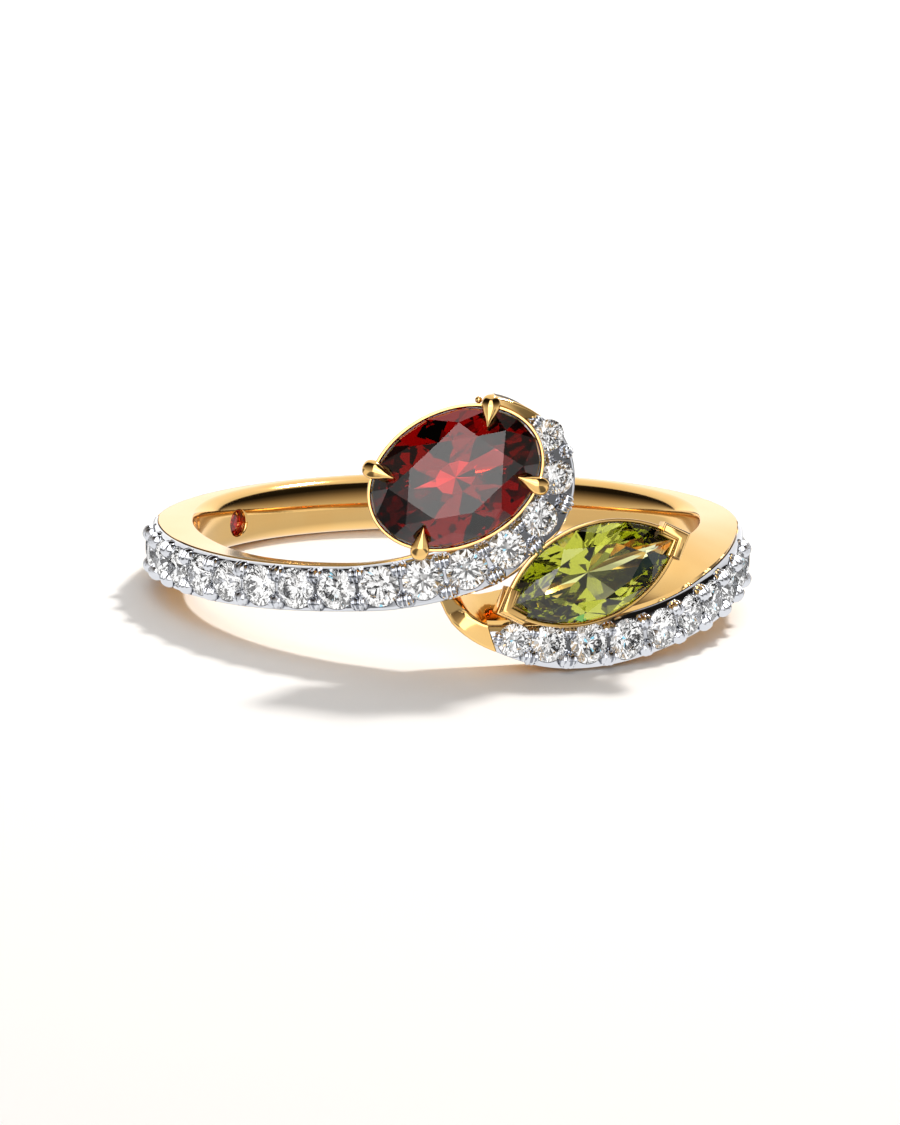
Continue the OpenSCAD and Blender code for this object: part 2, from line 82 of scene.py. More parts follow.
def round_hoop(angle: float, radius: float, height: float) -> Vector:
    """The point at an angle round the hoop, a distance from its axis and a height."""
    a = math.radians(angle)
    return Vector((radius * math.sin(a), -radius * math.cos(a), height))


def ramp(value: float, start: float, end: float) -> float:
    """0 before start, 1 after end, and straight between them."""
    return min(max((value - start) / (end - start), 0.0), 1.0)


def ease(value: float) -> float:
    """A soft step from 0 to 1."""
    v = min(max(value, 0.0), 1.0)
    return v * v * (3 - 2 * v)


def smooth_row(rows: np.ndarray, t: float) -> np.ndarray:
    """The row of a table at a place between two rows, on a smooth curve through them.

    Args:
        rows: The table, one row for each section.
        t: The place, where 2.5 is half way between rows 2 and 3.

    Returns:
        The row there.
    """
    last = len(rows) - 1
    i = max(0, min(int(math.floor(t)), last - 1))
    f = t - i
    a, b, c, d = rows[max(i - 1, 0)], rows[i], rows[i + 1], rows[min(i + 2, last)]
    return 0.5 * (2 * b + (c - a) * f + (2 * a - 5 * b + 4 * c - d) * f**2 + (3 * b - a - 3 * c + d) * f**3)


# Mesh building


class Shape:
    """Points and faces of one piece, in ring millimetres."""

    def __init__(self) -> None:
        """Starts an empty shape."""
        self.points: list[Vector] = []
        self.faces: list[tuple[int, ...]] = []

    def add(self, points: Sequence[Vector], faces: Sequence[Sequence[int]]) -> None:
        """Adds points, and faces that count from the first of them.

        Args:
            points: The new points.
            faces: The new faces, which count from the first new point.
        """
        base = len(self.points)
        self.points += list(points)
        self.faces += [tuple(base + i for i in face) for face in faces]

    def loft(self, rings: Sequence[Sequence[Vector]], closed: bool = False) -> None:
        """Adds a skin through closed rings with equal counts of points.

        Args:
            rings: The rings, in order.
            closed: Whether the last ring joins the first. Otherwise both ends are capped.
        """
        n = len(rings[0])
        m = len(rings)
        faces: list[list[int]] = []
        for j in range(m if closed else m - 1):
            k = (j + 1) % m
            for i in range(n):
                e = (i + 1) % n
                faces.append([j * n + i, j * n + e, k * n + e, k * n + i])
        if not closed:
            faces.append(list(range(n - 1, -1, -1)))
            faces.append([(m - 1) * n + i for i in range(n)])
        self.add([p for ring in rings for p in ring], faces)

    def moved(self, place: Matrix) -> "Shape":
        """A copy of the shape, moved by a matrix.

        Args:
            place: The matrix that moves the points.

        Returns:
            The moved copy.
        """
        other = Shape()
        other.add([place @ p for p in self.points], self.faces)
        return other

    def join(self, other: "Shape") -> None:
        """Adds all of another shape."""
        self.add(other.points, other.faces)

    def mesh(self, name: str, laid_down: bool = True) -> bpy.types.Mesh:
        """Makes a mesh whose faces look outwards.

        Args:
            name: The mesh's name.
            laid_down: Whether the mesh is in the row frame in metres, or stays in ring millimetres.

        Returns:
            The new mesh.
        """
        place = Matrix.Scale(MM, 4) @ LAID_DOWN if laid_down else Matrix.Identity(4)
        mesh = bpy.data.meshes.new(name)
        mesh.from_pydata([place @ p for p in self.points], [], self.faces)
        mesh.validate()
        face_outwards(mesh)
        return mesh


def lofted(rings: Sequence[Sequence[Vector]], closed: bool = False) -> Shape:
    """A new shape with a skin through closed rings.

    Args:
        rings: The rings, in order.
        closed: Whether the last ring joins the first.

    Returns:
        The shape.
    """
    made = Shape()
    made.loft(rings, closed)
    return made


def level_ring(half_x: float, half_y: float, z: float, count: int) -> list[Vector]:
    """Points round a level ellipse at a height."""
    turns = np.linspace(0, 2 * math.pi, count, endpoint=False)
    return [Vector((half_x * math.cos(a), half_y * math.sin(a), z)) for a in turns]


def face_outwards(mesh: bpy.types.Mesh) -> None:
    """Turns the faces of each closed shell of a mesh outwards.

    Args:
        mesh: The mesh, which is changed.
    """
    work = bmesh.new()
    work.from_mesh(mesh)
    bmesh.ops.recalc_face_normals(work, faces=work.faces)
    work.to_mesh(mesh)
    work.free()


def new_object(mesh: bpy.types.Mesh, name: str) -> bpy.types.Object:
    """Puts a mesh in the scene.

    Args:
        mesh: The mesh.
        name: The object's name.

    Returns:
        The object.
    """
    thing = bpy.data.objects.new(name, mesh)
    bpy.context.scene.collection.objects.link(thing)
    return thing


def cut_away(shape: Shape, cutters: Sequence[Shape], name: str) -> bpy.types.Mesh:
    """Cuts shapes out of another, one after the other, while all are in ring millimetres.

    Args:
        shape: What is cut.
        cutters: What is taken away.
        name: The name of the mesh that is left.

    Returns:
        The mesh that is left, laid down, in metres.
    """
    body = new_object(shape.mesh(name, laid_down=False), name + "_work")
    tools = []
    for number, cutter in enumerate(cutters):
        tool = new_object(cutter.mesh(f"{name}_cut_{number}", laid_down=False), f"{name}_cut_{number}")
        tools.append(tool)
        cut = body.modifiers.new(f"cut_{number}", "BOOLEAN")
        cut.operation = "DIFFERENCE"
        cut.solver = "EXACT"
        cut.object = tool
    bpy.context.view_layer.update()
    left = bpy.data.meshes.new_from_object(body.evaluated_get(bpy.context.evaluated_depsgraph_get()))
    left.name = name
    left.transform(Matrix.Scale(MM, 4) @ LAID_DOWN)
    for thing in [body, *tools]:
        spent = thing.data
        bpy.data.objects.remove(thing)
        bpy.data.meshes.remove(spent)
    return left


class Shading(Enum):
    """How the faces of a piece are shaded."""

    FLAT = "flat"
    SMOOTH = "smooth"


@dataclass(frozen=True)
class Dressing:
    """What a piece wears and which nodes of the part it stands for."""

    slot: str
    material: bpy.types.Material
    nodes: tuple[str, ...]
    shading: Shading = Shading.SMOOTH
    sharp_angle: float = 32.0

    def put_on(self, mesh: bpy.types.Mesh, name: str) -> bpy.types.Object:
        """Makes the piece of a mesh, dresses it and lets it ride on the part's body.

        Args:
            mesh: The finished mesh, laid down, in metres.
            name: The piece's name.

        Returns:
            The piece.
        """
        smooth = self.shading is Shading.SMOOTH
        mesh.polygons.foreach_set("use_smooth", [smooth] * len(mesh.polygons))
        if smooth:
            mesh.set_sharp_from_angle(angle=math.radians(self.sharp_angle))
        mesh.materials.clear()
        mesh.materials.append(self.material)
        piece = new_object(mesh, name)
        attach(piece, BODY)
        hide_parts(*self.nodes)
        LOG.info("%s: %d faces, for %s", name, len(mesh.polygons), ", ".join(self.nodes))
        return piece


# Finishes


class Graph:
    """A short way to write the nodes of a material, a group or the world."""

    def __init__(self, tree: bpy.types.NodeTree) -> None:
        """Takes the tree that the nodes go into."""
        self.tree = tree

    def add(self, kind: str, given: Given | None = None, **values: object) -> bpy.types.Node:
        """Adds a node.

        Args:
            kind: The node's type.
            given: What its sockets get, by their names or numbers.
            **values: Its own settings.

        Returns:
            The node.
        """
        node = self.tree.nodes.new(kind)
        for name, value in values.items():
            setattr(node, name, value)
        self.feed(node, given or {})
        return node

    def feed(self, node: bpy.types.Node, given: Given) -> None:
        """Gives sockets of a node a number, a colour or another socket's output each.

        Args:
            node: The node.
            given: What its sockets get, by their names or numbers.
        """
        for name, value in given.items():
            if isinstance(value, Socket):
                self.tree.links.new(value, node.inputs[name])
            else:
                node.inputs[name].default_value = value

    def math(self, operation: str, a: object, b: object = 0.0) -> Socket:
        """The result of a Math node."""
        return self.add("ShaderNodeMath", {0: a, 1: b}, operation=operation).outputs[0]

    def remap(self, value: object, low: float, high: float, start: float, end: float) -> Socket:
        """value taken from the range low to high to the range start to end, on a soft step."""
        given = {"Value": value, "From Min": low, "From Max": high, "To Min": start, "To Max": end}
        return self.add("ShaderNodeMapRange", given, interpolation_type="SMOOTHSTEP").outputs["Result"]

    def mix(self, share: object, a: object, b: object) -> Socket:
        """Two colours mixed."""
        return self.add("ShaderNodeMix", {0: share, 6: a, 7: b}, data_type="RGBA").outputs[2]

    def scaled(self, colour: object, share: object) -> Socket:
        """A colour times a number."""
        given = {0: colour, "Scale": share}
        return self.add("ShaderNodeVectorMath", given, operation="SCALE").outputs[0]

    def parts(self, vector: object) -> bpy.types.bpy_prop_collection:
        """The x, y and z of a vector."""
        return self.add("ShaderNodeSeparateXYZ", {0: vector}).outputs

    def reach(self, x: object, y: object) -> Socket:
        """The level distance of a point from the middle."""
        squares = self.math("ADD", self.math("MULTIPLY", x, x), self.math("MULTIPLY", y, y))
        return self.math("SQRT", squares)

    def bearing(self, x: object, y: object) -> Socket:
        """The angle of a point round the middle, from the front towards the right."""
        return self.math("ARCTAN2", x, self.math("MULTIPLY", y, -1.0))

    def noise(self, place: object, scale: object, detail: float) -> Socket:
        """A soft noise from 0 to 1."""
        given = {"Vector": place, "Scale": scale, "Detail": detail}
        return self.add("ShaderNodeTexNoise", given).outputs["Fac"]

    def patches(self, place: object, scale: float) -> bpy.types.bpy_prop_collection:
        """Patches with three random numbers each."""
        cells = self.add("ShaderNodeTexVoronoi", {"Vector": place, "Scale": scale}, feature="F1")
        return self.add("ShaderNodeSeparateColor", {0: cells.outputs["Color"]}).outputs


def fill_ramp(colours: bpy.types.ColorRamp, stops: Sequence[tuple[float, Sequence[float]]]) -> None:
    """Sets the stops of a colour ramp: a place and a colour each.

    Args:
        colours: The ramp.
        stops: The stops, in order.
    """
    while len(colours.elements) < len(stops):
        colours.elements.new(0.5)
    for element, (at, colour) in zip(colours.elements, stops):
        element.position = at
        element.color = (*colour, 1)


def shader_group(
    name: str, inputs: dict[str, float], outputs: dict[str, str],
) -> tuple[bpy.types.NodeTree, Graph]:
    """Starts a shader node group.

    Args:
        name: The group's name.
        inputs: Its number inputs, with their usual values.
        outputs: Its outputs, with the kind of each socket.

    Returns:
        The group, and the graph to write its nodes in.
    """
    tree = bpy.data.node_groups.new(name, "ShaderNodeTree")
    for label, usual in inputs.items():
        socket = tree.interface.new_socket(label, in_out="INPUT", socket_type="NodeSocketFloat")
        socket.default_value = usual
    for label, kind in outputs.items():
        tree.interface.new_socket(label, in_out="OUTPUT", socket_type=kind)
    return tree, Graph(tree)


def polish_group() -> bpy.types.NodeTree:
    """Polished metal: fine hairlines and soft waves left by the wheel, as a height and a roughness.

    Returns:
        The group, with its scales, roughness and spread as inputs.
    """
    tree, g = shader_group(
        "polish_marks",
        {"Hairline Scale": 9000.0, "Wave Scale": 700.0, "Roughness": 0.1, "Spread": 0.05},
        {"Height": "NodeSocketFloat", "Roughness": "NodeSocketFloat", "Wear": "NodeSocketFloat"},
    )
    given = g.add("NodeGroupInput").outputs
    place = g.add("ShaderNodeTexCoord").outputs["Object"]
    stretch = g.add("ShaderNodeMapping", {"Vector": place, "Scale": (1.0, 1.0, 6.0)})
    hairs = g.noise(stretch.outputs[0], given["Hairline Scale"], 2.0)
    waves = g.noise(place, given["Wave Scale"], 1.0)
    swing = g.math("MULTIPLY", g.math("SUBTRACT", waves, 0.5), given["Spread"])
    g.add("NodeGroupOutput", {
        "Height": g.math("ADD", g.math("MULTIPLY", hairs, 0.25), waves),
        "Roughness": g.math("ADD", given["Roughness"], swing),
        "Wear": g.remap(waves, 0.35, 0.65, 0.0, 1.0),
    })
    return tree


def painted_fire_group() -> bpy.types.NodeTree:
    """Painted fire and shade of a cut stone: a tint that changes from facet to facet, standing in for flashes
    of split light, and a darkening of some facets.

    Returns:
        The group, with its facet scale, the strength of the tint and the depth of the painted shade as
        inputs.
    """
    tree, g = shader_group(
        "painted_facet_fire",
        {"Facet Scale": 9.0, "Strength": 0.5, "Depth": 0.2},
        {"Tint": "NodeSocketColor", "Shade": "NodeSocketFloat"},
    )
    given = g.add("NodeGroupInput").outputs
    facing = g.add("ShaderNodeNewGeometry").outputs["True Normal"]
    place = g.add("ShaderNodeTexCoord").outputs["Object"]
    terms = {0: place, 1: (900.0, 900.0, 900.0), 2: facing}
    mixed = g.add("ShaderNodeVectorMath", terms, operation="MULTIPLY_ADD")
    cells = g.noise(mixed.outputs[0], given["Facet Scale"], 0.0)
    tints = g.add("ShaderNodeValToRGB", {"Fac": cells})
    plain = (1, 1, 1)
    fill_ramp(tints.color_ramp, (
        (0.0, (0.55, 0.75, 1.0)), (0.34, plain), (0.62, plain), (0.72, (1.0, 0.72, 0.42)),
    ))
    # Painted light: the tint paints coloured flashes, and Shade paints some facets darker
    g.add("NodeGroupOutput", {
        "Tint": g.mix(given["Strength"], (*plain, 1), tints.outputs["Color"]),
        "Shade": g.math("SUBTRACT", 1.0, g.math("MULTIPLY", cells, given["Depth"])),
    })
    return tree


def new_material(name: str) -> tuple[bpy.types.Material, Graph, bpy.types.Node]:
    """A new material, its graph and its shader.

    Args:
        name: The material's name.

    Returns:
        The material, the graph to write its nodes in, and its shader.
    """
    made = bpy.data.materials.new(name)
    made.use_nodes = True
    return made, Graph(made.node_tree), made.node_tree.nodes["Principled BSDF"]


@dataclass(frozen=True)
class MetalFinish:
    """Polished precious metal, with painted shade in its deep reflections."""

    name: str
    colour: Numbers
    worn_colour: Numbers
    roughness: float = 0.09
    wave_scale: float = 700.0
    bump: float = 0.02
    bump_height: float = 0.00005
    # What share of the colour is left in reflections of reflections: painted shade for crevices
    painted_shade_share: float = 0.4

    def material(self, polish: bpy.types.NodeTree) -> bpy.types.Material:
        """Builds the metal's material around the polish group.

        Args:
            polish: The group of polish marks.

        Returns:
            The material.
        """
        made, g, shader = new_material(self.name)
        given = {"Roughness": self.roughness, "Wave Scale": self.wave_scale}
        marks = g.add("ShaderNodeGroup", given, node_tree=polish).outputs
        depth = g.add("ShaderNodeLightPath").outputs["Glossy Depth"]
        fresh = g.mix(marks["Wear"], (*self.colour, 1), (*self.worn_colour, 1))
        # Painted shade: after two or more mirror bounces the colour fades to a darker one, standing in for
        # the shade deep in crevices and between parts
        deep = tuple(self.painted_shade_share * part for part in self.colour)
        bump = g.add("ShaderNodeBump", {
            "Strength": self.bump, "Distance": self.bump_height, "Height": marks["Height"],
        })
        g.feed(shader, {
            "Base Color": g.mix(g.remap(depth, 2.2, 4.2, 0.0, 1.0), fresh, (*deep, 1)),
            "Roughness": marks["Roughness"],
            "Metallic": 1.0,
            "Normal": bump.outputs["Normal"],
        })
        return made


@dataclass(frozen=True)
class StoneFinish:
    """A clear cut stone."""

    name: str
    ior: float
    body: Numbers = (1.0, 1.0, 1.0)
    density: float = 0.0
    # Size of the facet pattern, strength of the painted fire tint, and depth of the painted facet shade
    facet_scale: float = 9.0
    fire: float = 0.5
    depth: float = 0.2

    def material(self, fire: bpy.types.NodeTree) -> bpy.types.Material:
        """Builds the stone's material around the painted fire group.

        Args:
            fire: The group of painted facet fire and shade.

        Returns:
            The material.
        """
        made, g, shader = new_material(self.name)
        given = {"Facet Scale": self.facet_scale, "Strength": self.fire, "Depth": self.depth}
        tint = g.add("ShaderNodeGroup", given, node_tree=fire).outputs
        g.feed(shader, {
            "Transmission Weight": 1.0,
            "Roughness": 0.0,
            "IOR": self.ior,
            "Base Color": g.scaled(tint["Tint"], tint["Shade"]),
        })
        if self.density > 0:
            given = {"Color": (*self.body, 1), "Density": self.density}
            soak = g.add("ShaderNodeVolumeAbsorption", given)
            g.feed(made.node_tree.nodes["Material Output"], {"Volume": soak.outputs[0]})
        return made


class Finishes:
    """Every material of the ring and its floor."""

    def __init__(self) -> None:
        """Builds the groups once, and the materials around them."""
        polish = polish_group()
        fire = painted_fire_group()
        self.gold = MetalFinish("yellow_gold", (1.0, 0.62, 0.22), (1.0, 0.64, 0.24)).material(polish)
        white = MetalFinish("white_gold", (0.72, 0.74, 0.79), (0.75, 0.77, 0.82), 0.06, 1100.0)
        self.white = white.material(polish)
        self.diamond = StoneFinish("diamond", 2.417, facet_scale=7.0, fire=0.07, depth=0.06).material(fire)
        self.garnet = StoneFinish("garnet", 1.76, (0.84, 0.02, 0.02), 2000.0, 3.0, 0.0, 0.15).material(fire)
        self.peridot = StoneFinish("peridot", 1.67, (0.76, 0.78, 0.09), 880.0, 3.0, 0.0, 0.12).material(fire)
        self.ruby = StoneFinish("small_red", 1.76, (0.9, 0.03, 0.03), 3500.0, 4.0, 0.0, 0.15).material(fire)


# The hoop

# Columns: angle and height of the lower edge, angle and height of the upper edge, rise of the top face
# towards the finger, outer radius, radius where gold meets white, inner and outer corner radius, and where
# the row of diamonds runs between the lower edge, 0, and the upper edge, 1
A_LO, Z_LO, A_HI, Z_HI, RISE, R_OUT, R_EDGE, C_IN, C_OUT, MID = range(10)
HOOP_ROWS = np.array([
    [-3.0, 0.20, -1.2, 0.42, 0.05, 9.28, 9.20, 0.10, 0.20, 0.50],
    [-1.2, -0.22, 1.4, 0.10, 0.15, 9.34, 9.25, 0.10, 0.20, 0.50],
    [1.0, -0.80, 3.8, -0.34, 0.40, 9.90, 9.70, 0.10, 0.18, 0.50],
    [5.0, -1.36, 5.8, -0.64, 0.65, 10.05, 9.85, 0.10, 0.12, 0.55],
    [10.0, -1.78, 8.2, -0.82, 0.85, 10.12, 9.90, 0.10, 0.08, 0.58],
    [15.0, -2.13, 14.0, -0.84, 1.05, 10.12, 9.90, 0.10, 0.06, 0.59],
    [20.5, -2.36, 20.0, -0.87, 1.25, 10.12, 9.90, 0.10, 0.06, 0.57],
    [27.0, -2.46, 27.0, -0.88, 1.40, 10.12, 9.90, 0.10, 0.06, 0.55],
    [34.0, -2.43, 34.0, -0.88, 1.45, 10.12, 9.90, 0.10, 0.06, 0.52],
    [42.0, -2.29, 42.0, -0.76, 1.40, 10.12, 9.90, 0.10, 0.06, 0.50],
    [51.0, -2.07, 51.0, -0.46, 1.22, 10.10, 9.92, 0.10, 0.06, 0.50],
    [61.0, -1.83, 61.0, -0.06, 0.95, 10.08, 9.92, 0.10, 0.06, 0.50],
    [70.5, -1.60, 70.5, 0.30, 0.64, 10.05, 9.94, 0.10, 0.06, 0.50],
    [80.0, -1.34, 80.0, 0.60, 0.36, 10.02, 9.94, 0.10, 0.06, 0.50],
    [90.0, -1.14, 90.0, 0.82, 0.15, 10.00, 9.94, 0.10, 0.08, 0.50],
    [102.0, -1.03, 102.0, 0.93, 0.04, 9.98, 9.92, 0.26, 0.15, 0.50],
    [118.0, -1.00, 118.0, 0.97, 0.00, 9.95, 9.90, 0.52, 0.28, 0.50],
    [138.0, -1.01, 138.0, 0.96, 0.00, 9.92, 9.90, 0.74, 0.40, 0.50],
    [159.0, -1.03, 159.0, 0.93, 0.00, 9.90, 9.90, 0.80, 0.44, 0.50],
    [180.0, -1.03, 180.0, 0.92, 0.00, 9.90, 9.90, 0.80, 0.45, 0.50],
    [201.0, -1.02, 201.0, 0.93, 0.00, 9.90, 9.90, 0.80, 0.44, 0.50],
    [222.0, -0.98, 222.0, 0.96, 0.00, 9.90, 9.90, 0.74, 0.40, 0.50],
    [242.0, -0.93, 242.0, 0.98, 0.00, 9.90, 9.90, 0.52, 0.28, 0.50],
    [258.0, -0.89, 258.0, 0.98, 0.00, 9.92, 9.86, 0.26, 0.15, 0.50],
    [270.0, -0.85, 270.0, 0.98, 0.00, 9.94, 9.84, 0.10, 0.08, 0.50],
    [281.0, -0.78, 281.0, 0.97, -0.02, 9.96, 9.83, 0.10, 0.06, 0.50],
    [292.0, -0.74, 292.0, 0.94, -0.05, 9.98, 9.82, 0.10, 0.06, 0.50],
    [302.0, -0.73, 302.0, 0.91, -0.09, 10.00, 9.78, 0.10, 0.06, 0.50],
    [312.0, -0.72, 312.0, 0.90, -0.12, 10.00, 9.72, 0.10, 0.06, 0.50],
    [322.0, -0.66, 322.0, 0.92, -0.12, 10.00, 9.64, 0.10, 0.06, 0.50],
    [332.0, -0.57, 332.0, 0.98, -0.12, 10.00, 9.56, 0.10, 0.06, 0.50],
    [341.0, -0.47, 341.0, 1.08, -0.12, 10.00, 9.50, 0.10, 0.06, 0.51],
    [348.5, -0.37, 348.5, 1.27, -0.12, 10.00, 9.46, 0.10, 0.06, 0.52],
    [354.0, -0.22, 353.5, 1.46, -0.10, 10.00, 9.45, 0.10, 0.06, 0.52],
    [359.0, -0.03, 358.2, 1.64, 0.00, 10.00, 9.45, 0.10, 0.06, 0.52],
    [364.0, 0.20, 362.5, 1.78, 0.00, 10.00, 9.45, 0.10, 0.06, 0.53],
    [369.3, 0.50, 366.5, 2.01, 0.00, 10.00, 9.45, 0.10, 0.06, 0.54],
    [374.0, 0.95, 370.0, 2.34, 0.00, 10.00, 9.45, 0.10, 0.06, 0.56],
    [378.5, 1.58, 373.0, 2.75, 0.00, 10.00, 9.45, 0.10, 0.06, 0.56],
    [382.3, 2.25, 375.4, 3.21, 0.00, 10.00, 9.45, 0.10, 0.06, 0.57],
    [384.4, 2.97, 377.1, 3.67, 0.00, 10.00, 9.45, 0.10, 0.06, 0.56],
    [385.2, 3.70, 378.1, 4.17, 0.00, 10.00, 9.45, 0.10, 0.06, 0.55],
    [385.0, 4.41, 378.4, 4.65, 0.00, 10.00, 9.45, 0.10, 0.06, 0.54],
    [383.9, 5.03, 377.9, 5.11, 0.00, 10.00, 9.45, 0.10, 0.06, 0.55],
    [382.1, 5.56, 376.7, 5.54, 0.00, 10.02, 9.48, 0.10, 0.06, 0.55],
    [379.2, 5.95, 374.8, 5.92, 0.00, 10.04, 9.52, 0.10, 0.08, 0.54],
    [376.2, 6.32, 372.5, 6.20, 0.00, 10.05, 9.60, 0.10, 0.10, 0.54],
    [372.9, 6.60, 370.0, 6.37, 0.00, 10.05, 9.60, 0.10, 0.10, 0.50],
    [369.8, 6.75, 367.6, 6.46, 0.00, 10.05, 9.60, 0.05, 0.08, 0.50],
])


@dataclass
class HoopForm:
    """The form that the gold hoop and both white beds share."""

    bore_r: float = 8.65
    mean_r: float = 9.5
    groove_r: float = 9.36
    groove_least: float = 0.02
    groove_slope: float = 0.05
    ledge_w: float = 0.22
    seam: float = 0.03
    curl_row: int = 36
    curl_lift: float = 0.35
    corner_steps: int = 12
    upper_corner: float = 1.3
    inner_steps: int = 14
    right_rows: tuple[float, float] = (3.9, 14.1)
    left_rows: tuple[float, float] = (23.7, 45.3)

    def row(self, t: float) -> np.ndarray:
        """The hoop's row at a place along the table."""
        return smooth_row(HOOP_ROWS, t)

    def inner_r(self, t: float) -> float:
        """The radius of the inner face, which leaves the finger hole where the arm curls up."""
        return self.bore_r + self.curl_lift * ease(ramp(t, self.curl_row - 1, self.curl_row + 1))

    def strip_w(self, row: np.ndarray, r: float) -> float:
        """The width of a section from edge to edge at a radius."""
        return math.hypot(math.radians(row[A_HI] - row[A_LO]) * r, row[Z_HI] - row[Z_LO])

    def mean_w(self, row: np.ndarray) -> float:
        """The width of a section half way up."""
        return self.strip_w(row, self.mean_r)

    def floor_r(self, row: np.ndarray) -> float:
        """The radius of the floor of a bed's groove."""
        return min(row[R_EDGE] - self.groove_least, self.groove_r)

    def on_section(self, row: np.ndarray, t: float, p: float, r: float) -> Vector:
        """The point of a section p millimetres up from the lower edge at a radius.

        Args:
            row: The row of the table that the section has.
            t: The place along the table.
            p: Millimetres up from the lower edge.
            r: The radius.

        Returns:
            The point, in ring millimetres.
        """
        u = p / self.strip_w(row, r)
        inward = (row[R_OUT] - r) / (row[R_OUT] - self.inner_r(t))
        height = row[Z_LO] + (row[Z_HI] - row[Z_LO]) * u + row[RISE] * inward * u
        return round_hoop(row[A_LO] + (row[A_HI] - row[A_LO]) * u, r, height)

    def corner(
        self, across: float, up: float, wide: float, high: float, start: float,
    ) -> list[tuple[float, float]]:
        """A rounded corner of a section, a quarter turn from start degrees.

        Args:
            across: The corner's middle along the section.
            up: The corner's middle in radius.
            wide: How far it goes along the section.
            high: How far it goes in radius.
            start: Where the quarter turn starts, in degrees.

        Returns:
            The points of the corner.
        """
        made = []
        for k in range(self.corner_steps + 1):
            a = math.radians(start - 90 * k / self.corner_steps)
            made.append((across + wide * math.cos(a), up + high * math.sin(a)))
        return made

    def stations(self, start: float, end: float, step: float) -> list[float]:
        """Places along the table, about step degrees apart.

        Args:
            start: The first place.
            end: The last place.
            step: Degrees between two places.

        Returns:
            The places, with both ends.
        """
        found = [start]
        for i in range(len(HOOP_ROWS) - 1):
            wide = max(abs(HOOP_ROWS[i + 1][A_LO] - HOOP_ROWS[i][A_LO]), 3.0)
            count = math.ceil(wide / step)
            found += [i + k / count for k in range(count) if start + 0.02 < i + k / count < end - 0.02]
        return [*found, end]

    def middle(self, t: float, r: float) -> Vector:
        """Where the row of diamonds runs at a place along the table."""
        row = self.row(t)
        return self.on_section(row, t, self.strip_w(row, r) * row[MID], r)

    def lengths(self, rows: tuple[float, float], r: float) -> tuple[np.ndarray, np.ndarray]:
        """Lengths along a bed, and the place along the table at each.

        Args:
            rows: The first and the last place of the bed.
            r: The radius of its face.

        Returns:
            The lengths in millimetres, and the places.
        """
        places = np.linspace(rows[0], rows[1], 121)
        line = [self.middle(t, r) for t in places]
        steps = [(b - a).length for a, b in zip(line, line[1:])]
        return np.concatenate([[0.0], np.cumsum(steps)]), places

    def seat(self, t: float, r: float) -> Matrix:
        """The place of a stone on a bed, facing outwards."""
        p = self.middle(t, r)
        return Matrix.Translation(p) @ turned("Z", math.degrees(math.atan2(p.x, -p.y))) @ turned("X", 90)

    def heading(self, t: float, r: float) -> float:
        """How a bed's line leans in the face of the ring, in degrees from level.

        Args:
            t: The place along the table.
            r: The radius of the bed.

        Returns:
            The lean, in degrees.
        """
        a, b, m = self.middle(t - 0.1, r), self.middle(t + 0.1, r), self.middle(t, r)
        along = Vector((-m.y, m.x, 0)) / r
        return math.degrees(math.atan2(b.z - a.z, (b - a).dot(along)))


def inside_place(angle: float = -123.2, height: float = -0.05, bore_r: float = 8.65) -> Matrix:
    """The place of the small stone on the inner wall of the shank, facing the finger."""
    return turned("Z", angle) @ Matrix.Translation((0, -bore_r, height)) @ turned("X", -90)


